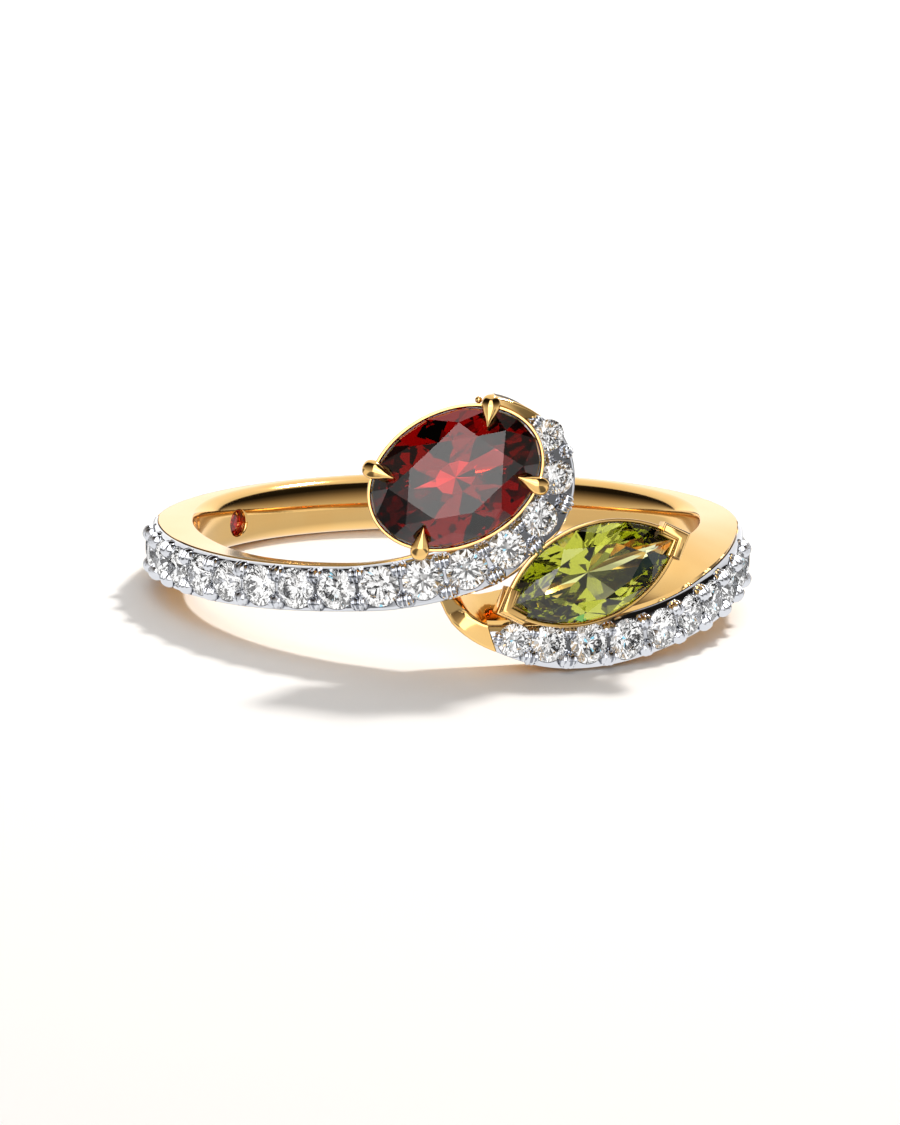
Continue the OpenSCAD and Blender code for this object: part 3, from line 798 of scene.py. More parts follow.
@dataclass
class GoldHoop:
    """The yellow gold hoop with both arms, and the smooth cup for the small stone inside it."""

    form: HoopForm
    step: float = 1.5
    cup_rows: tuple[float, float] = (21.3, 22.15)
    cup_step: float = 0.012
    cup_wall: tuple[tuple[float, float], ...] = (
        (0.10, -0.67), (0.48, -0.35), (0.48, -0.05), (0.495, -0.015), (0.53, 0.012), (0.60, 0.05),
        (0.60, 0.3),
    )

    def groove(self, row: np.ndarray, width: float) -> list[tuple[float, float]]:
        """The outside of a section under a white bed.

        Args:
            row: The row of the table that the section has.
            width: The width of the section.

        Returns:
            Points of the section: a distance along it and a radius each.
        """
        edge = row[R_EDGE]
        floor_r = self.form.floor_r(row)
        ledge = self.form.ledge_w
        slope = self.form.groove_slope
        marks = [(0, edge), (ledge, edge), (ledge + slope, floor_r)]
        marks += [(width - ledge - slope, floor_r), (width - ledge, edge), (width, edge)]
        return marks

    def outside(self, row: np.ndarray, width: float, grooved: bool) -> list[tuple[float, float]]:
        """The outside of a section, from its lower edge to its upper edge.

        Args:
            row: The row of the table that the section has.
            width: The width of the section.
            grooved: Whether it has the groove of a bed.

        Returns:
            Points of the section: a distance along it and a radius each.
        """
        if not grooved:
            c = row[C_OUT]
            r = row[R_OUT]
            low = self.form.corner(c, r - c, c, c, 180)
            return low + self.form.corner(width - c, r - c, c, c, 90)
        marks = self.groove(row, width)
        spare = 2 * (self.form.corner_steps + 1) - len(marks)
        first, last = marks[2], marks[3]
        floor = [
            tuple(a + (b - a) * k / (spare + 1) for a, b in zip(first, last))
            for k in range(1, spare + 1)
        ]
        return marks[:3] + floor + marks[3:]

    def section(self, t: float, grooved: bool) -> list[Vector]:
        """One section of the hoop, as a closed ring of points.

        Args:
            t: The place along the table.
            grooved: Whether it has the groove of a bed.

        Returns:
            The points, in ring millimetres.
        """
        row = self.form.row(t)
        width = self.form.mean_w(row)
        inner = self.form.inner_r(t)
        wide = row[C_IN]
        high = max(wide - 0.07, 0.05)
        low_corner = self.form.corner(wide, inner + high, wide, high, 270)
        tall = wide * self.form.upper_corner
        high_corner = self.form.corner(width - tall, inner + high, tall, high, 0)
        count = self.form.inner_steps
        flat = [(width - tall + (wide + tall - width) * k / count, inner) for k in range(1, count)]
        outline = low_corner + self.outside(row, width, grooved) + high_corner + flat
        ring = []
        for p, r in outline:
            scaled = p * self.form.strip_w(row, r) / width
            ring.append(self.form.on_section(row, t, scaled, r))
        return ring

    def cup(self) -> Shape:
        """The round cup that is cut for the small stone, with a soft lip."""
        return lofted([level_ring(r, r, z, 64) for r, z in self.cup_wall]).moved(inside_place())

    def places(self) -> list[tuple[float, bool]]:
        """Every section's place, and whether it has the groove of a white bed.

        Returns:
            The places in order, and for each whether it is grooved.
        """
        form = self.form
        gap = 0.03
        wall = 0.02
        right = (form.right_rows[0] - gap, form.right_rows[1] + gap)
        left = (form.left_rows[0] - gap, form.left_rows[1] + gap)
        cup_from, cup_to = self.cup_rows
        plain = form.stations(right[1] + wall, left[0] - wall, self.step)
        plain = [t for t in plain if not cup_from < t < cup_to]
        plain = sorted([*plain, *np.arange(cup_from, cup_to, self.cup_step)])
        found = [(t, False) for t in form.stations(0, right[0] - wall, self.step)]
        found += [(t, True) for t in form.stations(*right, self.step)]
        found += [(t, False) for t in plain]
        found += [(t, True) for t in form.stations(*left, self.step)]
        found += [(t, False) for t in form.stations(left[1] + wall, len(HOOP_ROWS) - 1, self.step)]
        return found

    def build(self, dressing: Dressing) -> bpy.types.Object:
        """Builds and dresses the hoop."""
        shape = lofted([self.section(t, grooved) for t, grooved in self.places()])
        return dressing.put_on(cut_away(shape, [self.cup()], "gold_hoop"), "gold_hoop")


# Cut stones


def ellipse_at(length: float, width: float, angle: float) -> tuple[float, float]:
    """The point of an ellipse at an angle."""
    a = math.radians(angle)
    return length / 2 * math.cos(a), width / 2 * math.sin(a)


def pointed_at(length: float, width: float, angle: float) -> tuple[float, float]:
    """The point at an angle of an outline of two arcs that meet in points.

    Args:
        length: From point to point.
        width: Across the middle.
        angle: The angle, in degrees.

    Returns:
        The point.
    """
    radius = (length**2 + width**2) / (4 * width)
    half = math.asin(length / 2 / radius)
    b = angle % 360
    s = 1 - b / 90 if b <= 180 else (b - 270) / 90
    side = 1 if b <= 180 else -1
    return radius * math.sin(s * half), side * (radius * math.cos(s * half) - radius + width / 2)


Outline = Callable[[float, float, float], tuple[float, float]]


@dataclass
class CutStone:
    """A brilliant cut with a table, stars, kites, girdle facets and pavilion facets."""

    name: str
    node: str
    length: float
    width: float
    crown: float
    pavilion: float
    place: Matrix
    outline: Outline = ellipse_at
    table: float = 0.6
    star: float = 0.8
    low: float = 0.3
    girdle: float = 0.05
    petals: int = 8
    under_petals: int = 8
    heart: float = 0.0
    swell: float = 1.1
    around: int = 96

    def ring(self, count: int, turn: float, part: float, z: float) -> list[Vector]:
        """Points round the stone's outline at a share of its size.

        Args:
            count: How many points.
            turn: Where they start, in degrees.
            part: The share of the stone's size.
            z: Their height over the girdle.

        Returns:
            The points.
        """
        found = []
        for k in range(count):
            x, y = self.outline(self.length, self.width, 360 / count * k + turn)
            found.append(Vector((x * part, y * part, z)))
        return found

    def shape(self) -> Shape:
        """Builds the stone's facets, with its girdle level at z = 0.

        Returns:
            The stone in its own frame, with its table up.
        """
        n, m = self.petals, self.under_petals
        half = self.girdle / 2
        star_z = half + self.crown * (1 - self.star * math.cos(math.pi / n)) / (1 - self.table)
        deep = self.pavilion * (self.swell if self.heart else 1.0)
        low_z = -half - deep * (1 - self.low * math.cos(math.pi / m))
        across = self.around
        table = self.ring(n, 0, self.table, half + self.crown)
        stars = self.ring(n, 180 / n, self.star, star_z)
        top = self.ring(across, 0, 1, half)
        foot = self.ring(across, 0, 1, -half)
        lows = self.ring(m, 180 / m, self.low, low_z)
        made = Shape()
        points = table + stars + top + foot + lows + [Vector((0, 0, -half - self.pavilion))]
        first_top = 2 * n
        first_foot = first_top + across
        first_low = first_foot + across
        culet = first_low + m
        heart = culet + 1
        if self.heart:
            points += self.ring(m, 0, self.heart, -half - deep * (1 - self.heart))
        faces: list[list[int]] = [list(range(n))]
        fine = across // (2 * n)
        for k in range(n):
            near = 2 * k * fine
            mid = near + fine
            faces.append([(k + 1) % n, n + k, k])
            faces.append([k, n + (k - 1) % n, first_top + near, n + k])
            faces.append([n + k, *[first_top + i for i in range(near, mid + 1)]])
            faces.append([n + k, *[first_top + i % across for i in range(mid, mid + fine + 1)]])
        fine = across // (2 * m)
        for k in range(m):
            near = 2 * k * fine
            mid = near + fine
            far = (near + 2 * fine) % across
            faces.append([first_low + k, *[first_foot + i for i in range(mid, near - 1, -1)]])
            back = range(mid + fine, mid - 1, -1)
            faces.append([first_low + k, *[first_foot + i % across for i in back]])
            e = (k + 1) % m
            if self.heart:
                faces.append([first_low + k, first_foot + far, first_low + e, heart + e])
                faces.append([first_low + k, heart + e, heart + k])
                faces.append([culet, heart + k, heart + e])
            else:
                faces.append([culet, first_low + k, first_foot + far, first_low + e])
        for i in range(across):
            e = (i + 1) % across
            faces.append([first_top + i, first_foot + i, first_foot + e, first_top + e])
        made.add(points, faces)
        return made

    def build(self, slot: str, material: bpy.types.Material) -> bpy.types.Object:
        """Builds and dresses the stone."""
        mesh = self.shape().moved(self.place).mesh(self.name)
        return Dressing(slot, material, (self.node,), Shading.FLAT).put_on(mesh, self.name)


# White beds


@dataclass
class PaveBed:
    """A white bed along one arm: seats for a row of diamonds, with fluted beads between them."""

    name: str
    node: str
    form: HoopForm
    rows: tuple[float, float]
    top_r: float
    first: float
    pitch: float
    count: int
    shrink_from: Callable[[int], float]
    end_at_start: bool
    nudges: Numbers = ()
    diamond_d: float = 1.38
    step: float = 1.4
    bevel: float = 0.14
    upper_bevel: float = 0.2
    upper_drop: float = 0.04
    bead_off: float = 0.54
    bead_edge: float = 0.03
    full_room: float = 0.84
    bead_lift: float = 0.03
    bead_l: float = 0.68
    bead_w: float = 0.62
    bead_rise: float = 0.32
    bead_lobes: int = 4
    bead_rings: int = 40
    bead_sides: int = 20
    flute_depth: float = 0.3
    end_gap: float = 0.22
    end_size: float = 0.7
    pocket_gap: float = 0.07
    pocket_depth: float = 0.16
    stone_gap: float = 0.02

    def at(self, i: int) -> float:
        """The place along the table of diamond i.

        Args:
            i: The number of the diamond, from 1.

        Returns:
            The place along the table.
        """
        lengths, places = self.form.lengths(self.rows, self.top_r)
        nudge = self.nudges[i - 1] if i <= len(self.nudges) else 0.0
        return float(np.interp(self.first + self.pitch * (i - 1) + nudge, lengths, places))

    def size(self, i: int) -> float:
        """The diameter of diamond i."""
        return self.diamond_d - self.shrink_from(i)

    def section(self, t: float) -> list[Vector]:
        """One section of the bed, which stands in the hoop's groove.

        Args:
            t: The place along the table.

        Returns:
            The points, in ring millimetres.
        """
        row = self.form.row(t)
        w = self.form.mean_w(row)
        seam = self.form.seam
        edge = row[R_EDGE] + seam
        floor_r = self.form.floor_r(row) + seam
        ledge = self.form.ledge_w + seam
        slope = self.form.groove_slope
        r = self.top_r
        b = self.bevel
        outline = [(0, edge)]
        c = min(self.upper_bevel, r - edge - 0.01)
        top = w - self.upper_drop
        for k in range(6):
            a = math.radians(18 * k)
            outline.append((b - b * math.cos(a), r - b + b * math.sin(a)))
        for k in range(1, 6):
            outline.append((b + (top - b - c) * k / 6, r))
        for k in range(8):
            a = math.radians(90 - 90 / 7 * k)
            outline.append((top - c + c * math.cos(a), r - c + c * math.sin(a)))
        outline += [(top, edge), (w - ledge, edge), (w - ledge - slope, floor_r)]
        outline += [(ledge + slope, floor_r), (ledge, edge)]
        return [self.form.on_section(row, t, p * self.form.strip_w(row, q) / w, q) for p, q in outline]

    def seat_cutter(self, i: int) -> Shape:
        """What is cut away for diamond i.

        Args:
            i: The number of the diamond, from 1.

        Returns:
            The cutter, in ring millimetres.
        """
        radius = self.size(i) / 2 + self.stone_gap
        levels = ((0.06, -0.47 * self.size(i)), (1.0, -0.04), (1.0, 0.4))
        cutter = lofted([level_ring(radius * part, radius * part, z, 48) for part, z in levels])
        return cutter.moved(self.form.seat(self.at(i), self.top_r))

    def bead(self, scale: float = 1.0) -> Shape:
        """A fluted bead: a ball with grooves across the row, as the graver leaves it.

        Args:
            scale: Its share of the full size.

        Returns:
            The bead in its own frame.
        """
        rings = []
        for j in range(1, self.bead_rings):
            x = -math.cos(math.pi * j / self.bead_rings)
            flute = 0.5 + 0.5 * math.cos(math.pi * self.bead_lobes * (x + 1))
            if self.bead_lobes % 2 == 0:
                flute = 1 - flute
            full = math.sqrt(1 - x**2) * (1 - self.flute_depth * (1 - flute) ** 2)
            rings.append([
                Vector((
                    self.bead_l / 2 * scale * x,
                    self.bead_w / 2 * scale * full * math.cos(a),
                    self.bead_rise * scale * full * math.sin(a),
                ))
                for a in np.linspace(0, 2 * math.pi, self.bead_sides, endpoint=False)
            ])
        return lofted(rings)

    def pocket(self) -> Shape:
        """The groove that sets a bead off from the bed round it.

        Returns:
            The cutter in the frame of its bead.
        """
        levels = ((0.02, -self.pocket_depth), (self.pocket_gap, 0.3))
        return lofted([
            level_ring(self.bead_l / 2 + grow, self.bead_w / 2 + grow, z, 32) for grow, z in levels
        ])

    def bead_places(self) -> list[Matrix]:
        """Where the beads stand: two between each pair of diamonds.

        Returns:
            The places, each with the size of its bead in it.
        """
        found = []
        for i in range(1, self.count):
            t = (self.at(i) + self.at(i + 1)) / 2
            row = self.form.row(t)
            w = self.form.strip_w(row, self.top_r)
            place = self.form.seat(t, self.top_r) @ turned("Z", self.form.heading(t, self.top_r))
            for side, room in ((-1, w * row[MID]), (1, w * (1 - row[MID]))):
                size = min(max(room / self.full_room, 0.5), 1.0)
                y = min(room - self.bead_edge - self.bead_w / 2 * size, self.bead_off)
                aside = Matrix.Translation((0, side * y, self.bead_lift))
                found.append(place @ aside @ Matrix.Scale(size, 4))
        return found

    def end_place(self) -> Matrix:
        """Where the small bead at the bed's tip stands.

        Returns:
            The place.
        """
        lengths, places = self.form.lengths(self.rows, self.top_r)
        end = self.end_gap if self.end_at_start else lengths[-1] - self.end_gap
        t = float(np.interp(end, lengths, places))
        return self.form.seat(t, self.top_r) @ turned("Z", self.form.heading(t, self.top_r) + 90)

    def beads(self) -> Shape:
        """Every bead of the bed.

        Returns:
            The beads, in ring millimetres.
        """
        made = Shape()
        for place in self.bead_places():
            made.join(self.bead().moved(place))
        made.join(self.bead(self.end_size).moved(self.end_place()))
        return made

    def pockets(self) -> list[Shape]:
        """The grooves round the beads, in lists that don't meet each other.

        Returns:
            Two cutters, each with every second groove.
        """
        low, high = Shape(), Shape()
        for number, place in enumerate(self.bead_places()):
            (high if number % 2 else low).join(self.pocket().moved(place))
        return [low, high]

    def build(self, dressing: Dressing, rooms: Sequence[Shape]) -> bpy.types.Object:
        """Builds and dresses the bed.

        Args:
            dressing: The metal and the nodes that it stands for.
            rooms: The rooms of the collets, which are cut out of the bed.

        Returns:
            The bed.
        """
        strip = lofted([self.section(t) for t in self.form.stations(*self.rows, self.step)])
        seats = [Shape(), Shape()]
        for i in range(1, self.count + 1):
            seats[i % 2].join(self.seat_cutter(i))
        left = cut_away(strip, [*seats, *self.pockets(), *rooms], self.name)
        beads = self.beads().mesh(self.name + "_beads")
        whole = joined_meshes(self.name, left, beads)
        return dressing.put_on(whole, self.name)


def joined_meshes(name: str, *meshes: bpy.types.Mesh) -> bpy.types.Mesh:
    """Joins meshes that are all laid down into one new mesh.

    Args:
        name: The new mesh's name.
        *meshes: The meshes, which are used up.

    Returns:
        The new mesh.
    """
    points: list[Vector] = []
    faces: list[list[int]] = []
    for mesh in meshes:
        base = len(points)
        points += [v.co.copy() for v in mesh.vertices]
        faces += [[base + i for i in face.vertices] for face in mesh.polygons]
        bpy.data.meshes.remove(mesh)
    whole = bpy.data.meshes.new(name)
    whole.from_pydata(points, [], faces)
    return whole


# Settings of the two large stones


def large_place(at: Numbers, turn: Numbers) -> Matrix:
    """Where a large stone sits: its centre, its turn to the right, its tilt and its turn in plane."""
    return Matrix.Translation(at) @ turned("Z", turn[0]) @ turned("X", 90 - turn[1]) @ turned("Z", turn[2])


@dataclass
class Setting:
    """What both settings have: a tapered collet under the girdle of their stone."""

    length: float
    width: float
    outline: Outline
    place: Matrix
    depth: float
    foot: tuple[float, float]
    reach: float = 1.0
    rim_w: float = 0.13
    steps: int = 112

    def wall(self) -> list[tuple[float, float]]:
        """The collet's wall: how far outside the girdle, and how far above it.

        Returns:
            The points of the wall, in order round it.
        """
        outer, inner = self.foot
        r = self.rim_w
        return [
            (r, 0.04), (r, -0.15), (outer, -self.depth), (inner, -self.depth), (-0.14, -0.2), (0.03, -0.09),
            (0.03, 0.05), (0.05, 0.075), (r - 0.035, 0.08), (r - 0.01, 0.07),
        ]

    def around(self, out: float, z: float, steps: int) -> list[Vector]:
        """A ring round the stone, a distance outside its girdle.

        Args:
            out: The distance outside the girdle.
            z: The height above it.
            steps: How many points.

        Returns:
            The points.
        """
        found = []
        for k in range(steps):
            x, y = self.outline(self.length + 2 * self.reach * out, self.width + 2 * out, -360 * k / steps)
            found.append(Vector((x, y, z)))
        return found

    def collet(self) -> Shape:
        """The collet, as a closed wall all round the stone."""
        return lofted([self.around(out, z, self.steps) for out, z in self.wall()], closed=True)

    def room(self, seam: float = 0.03) -> Shape:
        """The room that the collet takes from a white bed, in ring millimetres."""
        levels = ((self.foot[0], -self.depth), (self.rim_w, -0.15), (self.rim_w, 1.07))
        return lofted([self.around(out + seam, z, 48) for out, z in levels]).moved(self.place)


@dataclass
class OvalSetting(Setting):
    """The oval stone's collet with its four teardrop claws."""

    angles: tuple[float, ...] = (46.0, 140.5, 225.5, 320.5)
    claw_steps: int = 6
    claw_sides: int = 24
    ball_at: Numbers = (1.80, 1.95, 0.02, 0.12)

    # Columns: distance out from the girdle, height above it, half width, half height and lean of a section
    CLAW_ROWS: ClassVar[np.ndarray] = np.array([
        [-0.02, -0.60, 0.10, 0.08, 90],
        [0.16, -0.20, 0.15, 0.13, 80],
        [0.32, 0.06, 0.20, 0.15, 60],
        [0.28, 0.25, 0.28, 0.20, 38],
        [0.08, 0.37, 0.31, 0.22, 18],
        [-0.16, 0.43, 0.23, 0.18, 15],
        [-0.40, 0.49, 0.11, 0.12, 15],
        [-0.62, 0.54, 0.02, 0.03, 15],
    ])

    def claw(self, angle: float) -> Shape:
        """One claw: a smooth drop whose point leans over the stone.

        Args:
            angle: Where it stands round the stone, in degrees.

        Returns:
            The claw, in the stone's frame.
        """
        x, y = ellipse_at(self.length, self.width, angle)
        heading = math.degrees(math.atan2(y / self.width**2, x / self.length**2))
        rings = []
        last = len(self.CLAW_ROWS) - 1
        for t in np.linspace(0, last, last * self.claw_steps + 1):
            out, up, half_w, half_h, lean = smooth_row(self.CLAW_ROWS, t)
            tilt = math.radians(lean)
            ring = []
            for k in range(self.claw_sides):
                a = 2 * math.pi * k / self.claw_sides
                v = half_h * math.sin(a)
                side = half_w * math.cos(a)
                ring.append(Vector((out + v * math.sin(tilt), side, up + v * math.cos(tilt))))
            rings.append(ring)
        return lofted(rings).moved(Matrix.Translation((x, y, 0)) @ turned("Z", heading))

    def ball(self) -> Shape:
        """The small ball on the collet beside the upper claw.

        Returns:
            The ball, in the stone's frame.
        """
        x, y, z, radius = self.ball_at
        rings = []
        for b in np.linspace(0.05, math.pi - 0.05, 14):
            wide = radius * math.sin(b)
            up = z + radius * math.cos(b)
            rings.append([
                Vector((x + wide * math.cos(a), y + wide * math.sin(a), up))
                for a in np.linspace(0, 2 * math.pi, 24, endpoint=False)
            ])
        return lofted(rings)

    def build(self, dressing: Dressing) -> bpy.types.Object:
        """Builds and dresses the setting.

        Args:
            dressing: The metal and the nodes that it stands for.

        Returns:
            The setting.
        """
        shape = self.collet()
        shape.join(self.ball())
        for angle in self.angles:
            shape.join(self.claw(angle))
        return dressing.put_on(shape.moved(self.place).mesh("oval_setting"), "oval_setting")


@dataclass
class MarquiseSetting(Setting):
    """The marquise stone's collet with a V-shaped claw round each tip, and the post under its outer tip."""

    arm: float = 0.97
    claw_w: float = 0.46
    top: float = 0.5
    drop: float = 0.35
    half_angle: float = 45.0
    out: float = 0.48
    bevel: float = 0.13

    # The step under the claw's round top: how far in, and how far below the top
    step_rows: tuple[tuple[float, float], ...] = ((0.0, 0.24), (0.015, 0.205), (0.05, 0.19))

    # Columns: a point of the post's line in the ring's frame, and its half width
    POST_ROWS: ClassVar[np.ndarray] = np.array([
        [7.55, -8.40, 1.75, 0.16],
        [7.25, -7.50, 1.30, 0.20],
        [7.00, -6.60, 0.60, 0.28],
        [6.75, -5.90, 0.00, 0.30],
    ])

    def v_claw(self, side: int) -> Shape:
        """One V-shaped claw, with rounded edges.

        Args:
            side: 1 for the tip along X, -1 for the other.

        Returns:
            The claw, in the stone's own frame.
        """
        c = math.cos(math.radians(self.half_angle))
        s = math.sin(math.radians(self.half_angle))
        elbow = self.length / 2 + self.out
        steps = [(0.0, -self.drop)]
        steps += [(inset, self.top - down) for inset, down in self.step_rows]
        curve = [
            (0.055 + self.bevel * (1 - math.cos(a)), self.top - self.bevel + self.bevel * math.sin(a))
            for a in np.linspace(0, math.pi / 2, 8)
        ]
        rings = []
        for inset, z in (*steps, *curve):
            arm = self.arm - inset
            width = self.claw_w - 2 * inset
            tip = elbow - inset / s
            far = (tip - arm * c + inset * 0.4, arm * s)
            near = (far[0] - width * s, far[1] - width * c)
            inner = tip - width / s
            corners = [(tip, 0), far, near, (inner, 0), (near[0], -near[1]), (far[0], -far[1])]
            rings.append([Vector((side * x, y, z)) for x, y in corners])
        return lofted(rings)

    def post(self) -> Shape:
        """The post that carries the outer tip down to the ramp, in the ring's frame.

        Returns:
            The post, in ring millimetres.
        """
        rings = []
        for t in np.linspace(0, len(self.POST_ROWS) - 1, 19):
            x, y, z, half = smooth_row(self.POST_ROWS, t)
            rings.append([
                Vector((x + half * math.cos(a), y, z + half * math.sin(a)))
                for a in np.linspace(0, 2 * math.pi, 20, endpoint=False)
            ])
        return lofted(rings)

    def build(self, dressing: Dressing) -> bpy.types.Object:
        """Builds and dresses the setting.

        Args:
            dressing: The metal and the nodes that it stands for.

        Returns:
            The setting.
        """
        shape = self.collet()
        shape.join(self.v_claw(1))
        shape.join(self.v_claw(-1))
        whole = shape.moved(self.place)
        whole.join(self.post())
        return dressing.put_on(whole.mesh("marquise_setting"), "marquise_setting")


# The studio


@dataclass
class Studio:
    """The floor, the lights and the camera, at the photograph's viewing angle."""

    distance: float = 250.0
    elevation: float = 10.4
    focal: float = 7305.0
    frame_w: int = 900
    frame_h: int = 1125
    seen_at: tuple[float, float] = (446.25, 546.2)
    sensor: float = 36.0
    tent_gain: float = 1.5
    wrap: float = 0.45
    side_wrap: float = 0.9
    # Painted reflection of the floor in metal: its glow inside the hoop, at the hoop's foot and in deeper
    # reflections, and its stripes further out
    floor_glow: float = 0.61
    foot_glow: float = 1.0
    deep_glow: float = 0.5
    stripes: float = 5.0
    stripe_shift: float = 1.2
    floor_cells: float = 250.0
    shade_light: float = 0.62
    sparkle_scale: float = 3.0
    patch_edge: tuple[float, float] = (0.46, 0.50)
    # Painted sparkle: how bright the floor's patches are when seen through the stones
    floor_patches: tuple[float, float] = (0.04, 1.1)
    tent_patches: tuple[float, float] = (0.03, 1.35)
    key_watts: float = 0.62
    key_w: float = 0.036
    key_at: Numbers = (0.10, 0.14, 0.228)
    fill_watts: float = 0.55
    fill_w: float = 0.5
    fill_at: Numbers = (0, 0, 0.5)

    # Cards in the tent: where to, half width, soft edge in radians, and brightness, or the share taken away
    front_card: tuple[Numbers, float, float, float] = ((-0.03, -0.976, 0.217), 0.36, 0.10, 1.7)
    dark_card: tuple[Numbers, float, float, float] = ((0.0, -0.97, 0.245), 0.21, 0.04, 0.93)

    # The softbox: where its side, foot and top edges start and end, and its brightness
    box_side: tuple[float, float] = (0.38, 0.50)
    box_foot: tuple[float, float] = (0.36, 0.46)
    box_top: tuple[float, float] = (0.92, 0.97)
    box_gain: float = 2.0

    # Brightness of the tent: 0 at the front horizon, 0.5 overhead and 1 at the back horizon
    tent_stops: tuple[tuple[float, float], ...] = (
        (0.0, 0.50), (0.078, 0.36), (0.132, 0.27), (0.172, 0.20), (0.215, 0.13), (0.27, 0.05), (0.34, 0.0),
        (0.44, 0.0), (0.455, 0.50), (0.75, 0.72), (0.90, 0.84), (1.0, 0.87),
    )

    def camera(self) -> None:
        """Puts the camera where the photograph was taken from, and lays it down with the ring."""
        e = math.radians(self.elevation)
        ahead = Vector((0, math.cos(e), -math.sin(e)))
        up = Vector((0, math.sin(e), math.cos(e)))
        right = ahead.cross(up)
        turn = Matrix((right, up, -ahead)).transposed().to_4x4()
        place = LAID_DOWN @ Matrix.Translation(-self.distance * ahead) @ turn
        place.translation *= MM
        data = bpy.data.cameras.new("camera")
        data.sensor_width = self.sensor
        data.lens = self.focal / self.frame_h * self.sensor
        data.shift_x = (self.frame_w / 2 - self.seen_at[0]) / self.frame_h
        data.shift_y = -(self.frame_h / 2 - self.seen_at[1]) / self.frame_h
        data.clip_start = 0.01
        data.clip_end = 10.0
        camera = bpy.data.objects.new("camera", data)
        camera.matrix_world = place
        bpy.context.scene.collection.objects.link(camera)
        bpy.context.scene.camera = camera

    def floor(self) -> None:
        """Lays a plain pale floor, which shows a painted reflection in metal and stones: black there, with a
        glow in its place.
        """
        reach = 2.0
        corners = [(-reach, -reach, 0), (reach, -reach, 0), (reach, reach, 0), (-reach, reach, 0)]
        mesh = bpy.data.meshes.new("floor")
        mesh.from_pydata(corners, [], [(0, 1, 2, 3)])
        floor = new_object(mesh, "floor")
        made, g, shader = new_material("pale_floor")
        grain = g.add("ShaderNodeTexNoise", {"Scale": 300.0}).outputs["Fac"]
        pale = g.mix(grain, (0.93, 0.915, 0.90, 1), (0.94, 0.93, 0.915, 1))
        path = g.add("ShaderNodeLightPath").outputs
        # Painted reflection: to the first mirror and stone rays the floor is black and glows instead, evenly
        # inside the hoop, bright at its foot, striped further out and dimmer in deeper reflections
        direct = g.math("LESS_THAN", path["Diffuse Depth"], 0.5)
        mirrored = g.math("MAXIMUM", path["Is Glossy Ray"], path["Is Transmission Ray"])
        mirrored = g.math("MULTIPLY", mirrored, direct)
        place = g.add("ShaderNodeTexCoord").outputs["Object"]
        fresh = g.remap(path["Glossy Depth"], 1.2, 1.8, 1.0, self.deep_glow)
        in_metal = g.math("MULTIPLY", path["Is Glossy Ray"], fresh)
        in_metal = g.math("MULTIPLY", in_metal, self.metal_glow(g, place))
        # Painted sparkle: bright patches of floor glow seen through the stones
        patch = g.patches(place, self.floor_cells)[0]
        in_stones = g.remap(patch, *self.patch_edge, *self.floor_patches)
        in_stones = g.math("MULTIPLY", path["Is Transmission Ray"], in_stones)
        g.feed(shader, {
            "Base Color": g.mix(mirrored, pale, (0.0, 0.0, 0.0, 1)),
            "Roughness": 0.9,
            "Emission Color": (1.0, 0.99, 0.98, 1),
            "Emission Strength": g.math("MULTIPLY", direct, g.math("ADD", in_metal, in_stones)),
        })
        made.cycles.emission_sampling = "NONE"
        mesh.materials.append(made)

    def metal_glow(self, g: Graph, place: Socket) -> Socket:
        """How bright the floor's painted reflection is in metal: even inside the hoop, bright at its foot,
        striped further out.

        Args:
            g: The floor's graph.
            place: The place on the floor.

        Returns:
            The strength of the glow.
        """
        x, y, _ = g.parts(place)
        reach = g.reach(x, y)
        angle = g.math("MULTIPLY", g.bearing(x, y), self.stripes)
        wave = g.math("SINE", g.math("ADD", angle, self.stripe_shift))
        stripes = g.remap(wave, -0.5, 0.3, 0.10, 0.85)
        foot = g.remap(reach, 0.0120, 0.0145, self.foot_glow, stripes)
        return g.remap(reach, 0.0088, 0.0096, self.floor_glow, foot)

    def sky(self) -> None:
        """Lights the ring from a tent: bright behind and overhead, and dark high above the camera."""
        world = bpy.data.worlds.new("tent")
        bpy.context.scene.world = world
        world.use_nodes = True
        g = Graph(world.node_tree)
        way = g.add("ShaderNodeTexCoord").outputs["Generated"]
        x, y, z = g.parts(way)
        level_reach = g.reach(x, y)
        backwards = g.math("DIVIDE", y, g.math("MAXIMUM", level_reach, 0.001))
        wrap = g.remap(backwards, 0.5, 0.85, self.side_wrap, self.wrap)
        ahead = g.math("SUBTRACT", g.math("MULTIPLY", level_reach, wrap), y)
        ahead = g.math("DIVIDE", ahead, g.math("ADD", wrap, 1.0))
        turn = g.math("DIVIDE", g.math("ARCTAN2", z, ahead), math.pi)
        tent = g.add("ShaderNodeValToRGB", {"Fac": turn})
        fill_ramp(tent.color_ramp, [(at, (level,) * 3) for at, level in self.tent_stops])
        level = g.math("MULTIPLY", tent.outputs["Color"], self.tent_gain)
        level = g.math("ADD", level, self.card(g, way, *self.front_card))
        level = g.math("ADD", level, g.math("MULTIPLY", self.softbox(g, x, y, z), self.box_gain))
        tint = g.mix(g.remap(level, 0.05, 0.7, 0.0, 1.0), (1.0, 0.86, 0.74, 1), (1.0, 0.985, 0.97, 1))
        plain = g.scaled(tint, g.math("ADD", level, 0.01))
        path = g.add("ShaderNodeLightPath").outputs
        g.feed(world.node_tree.nodes["Background"], {
            "Color": g.mix(path["Is Transmission Ray"], plain, self.sparkle(g, way)),
            "Strength": g.remap(path["Is Diffuse Ray"], 0.0, 1.0, 1.0, self.shade_light),
        })

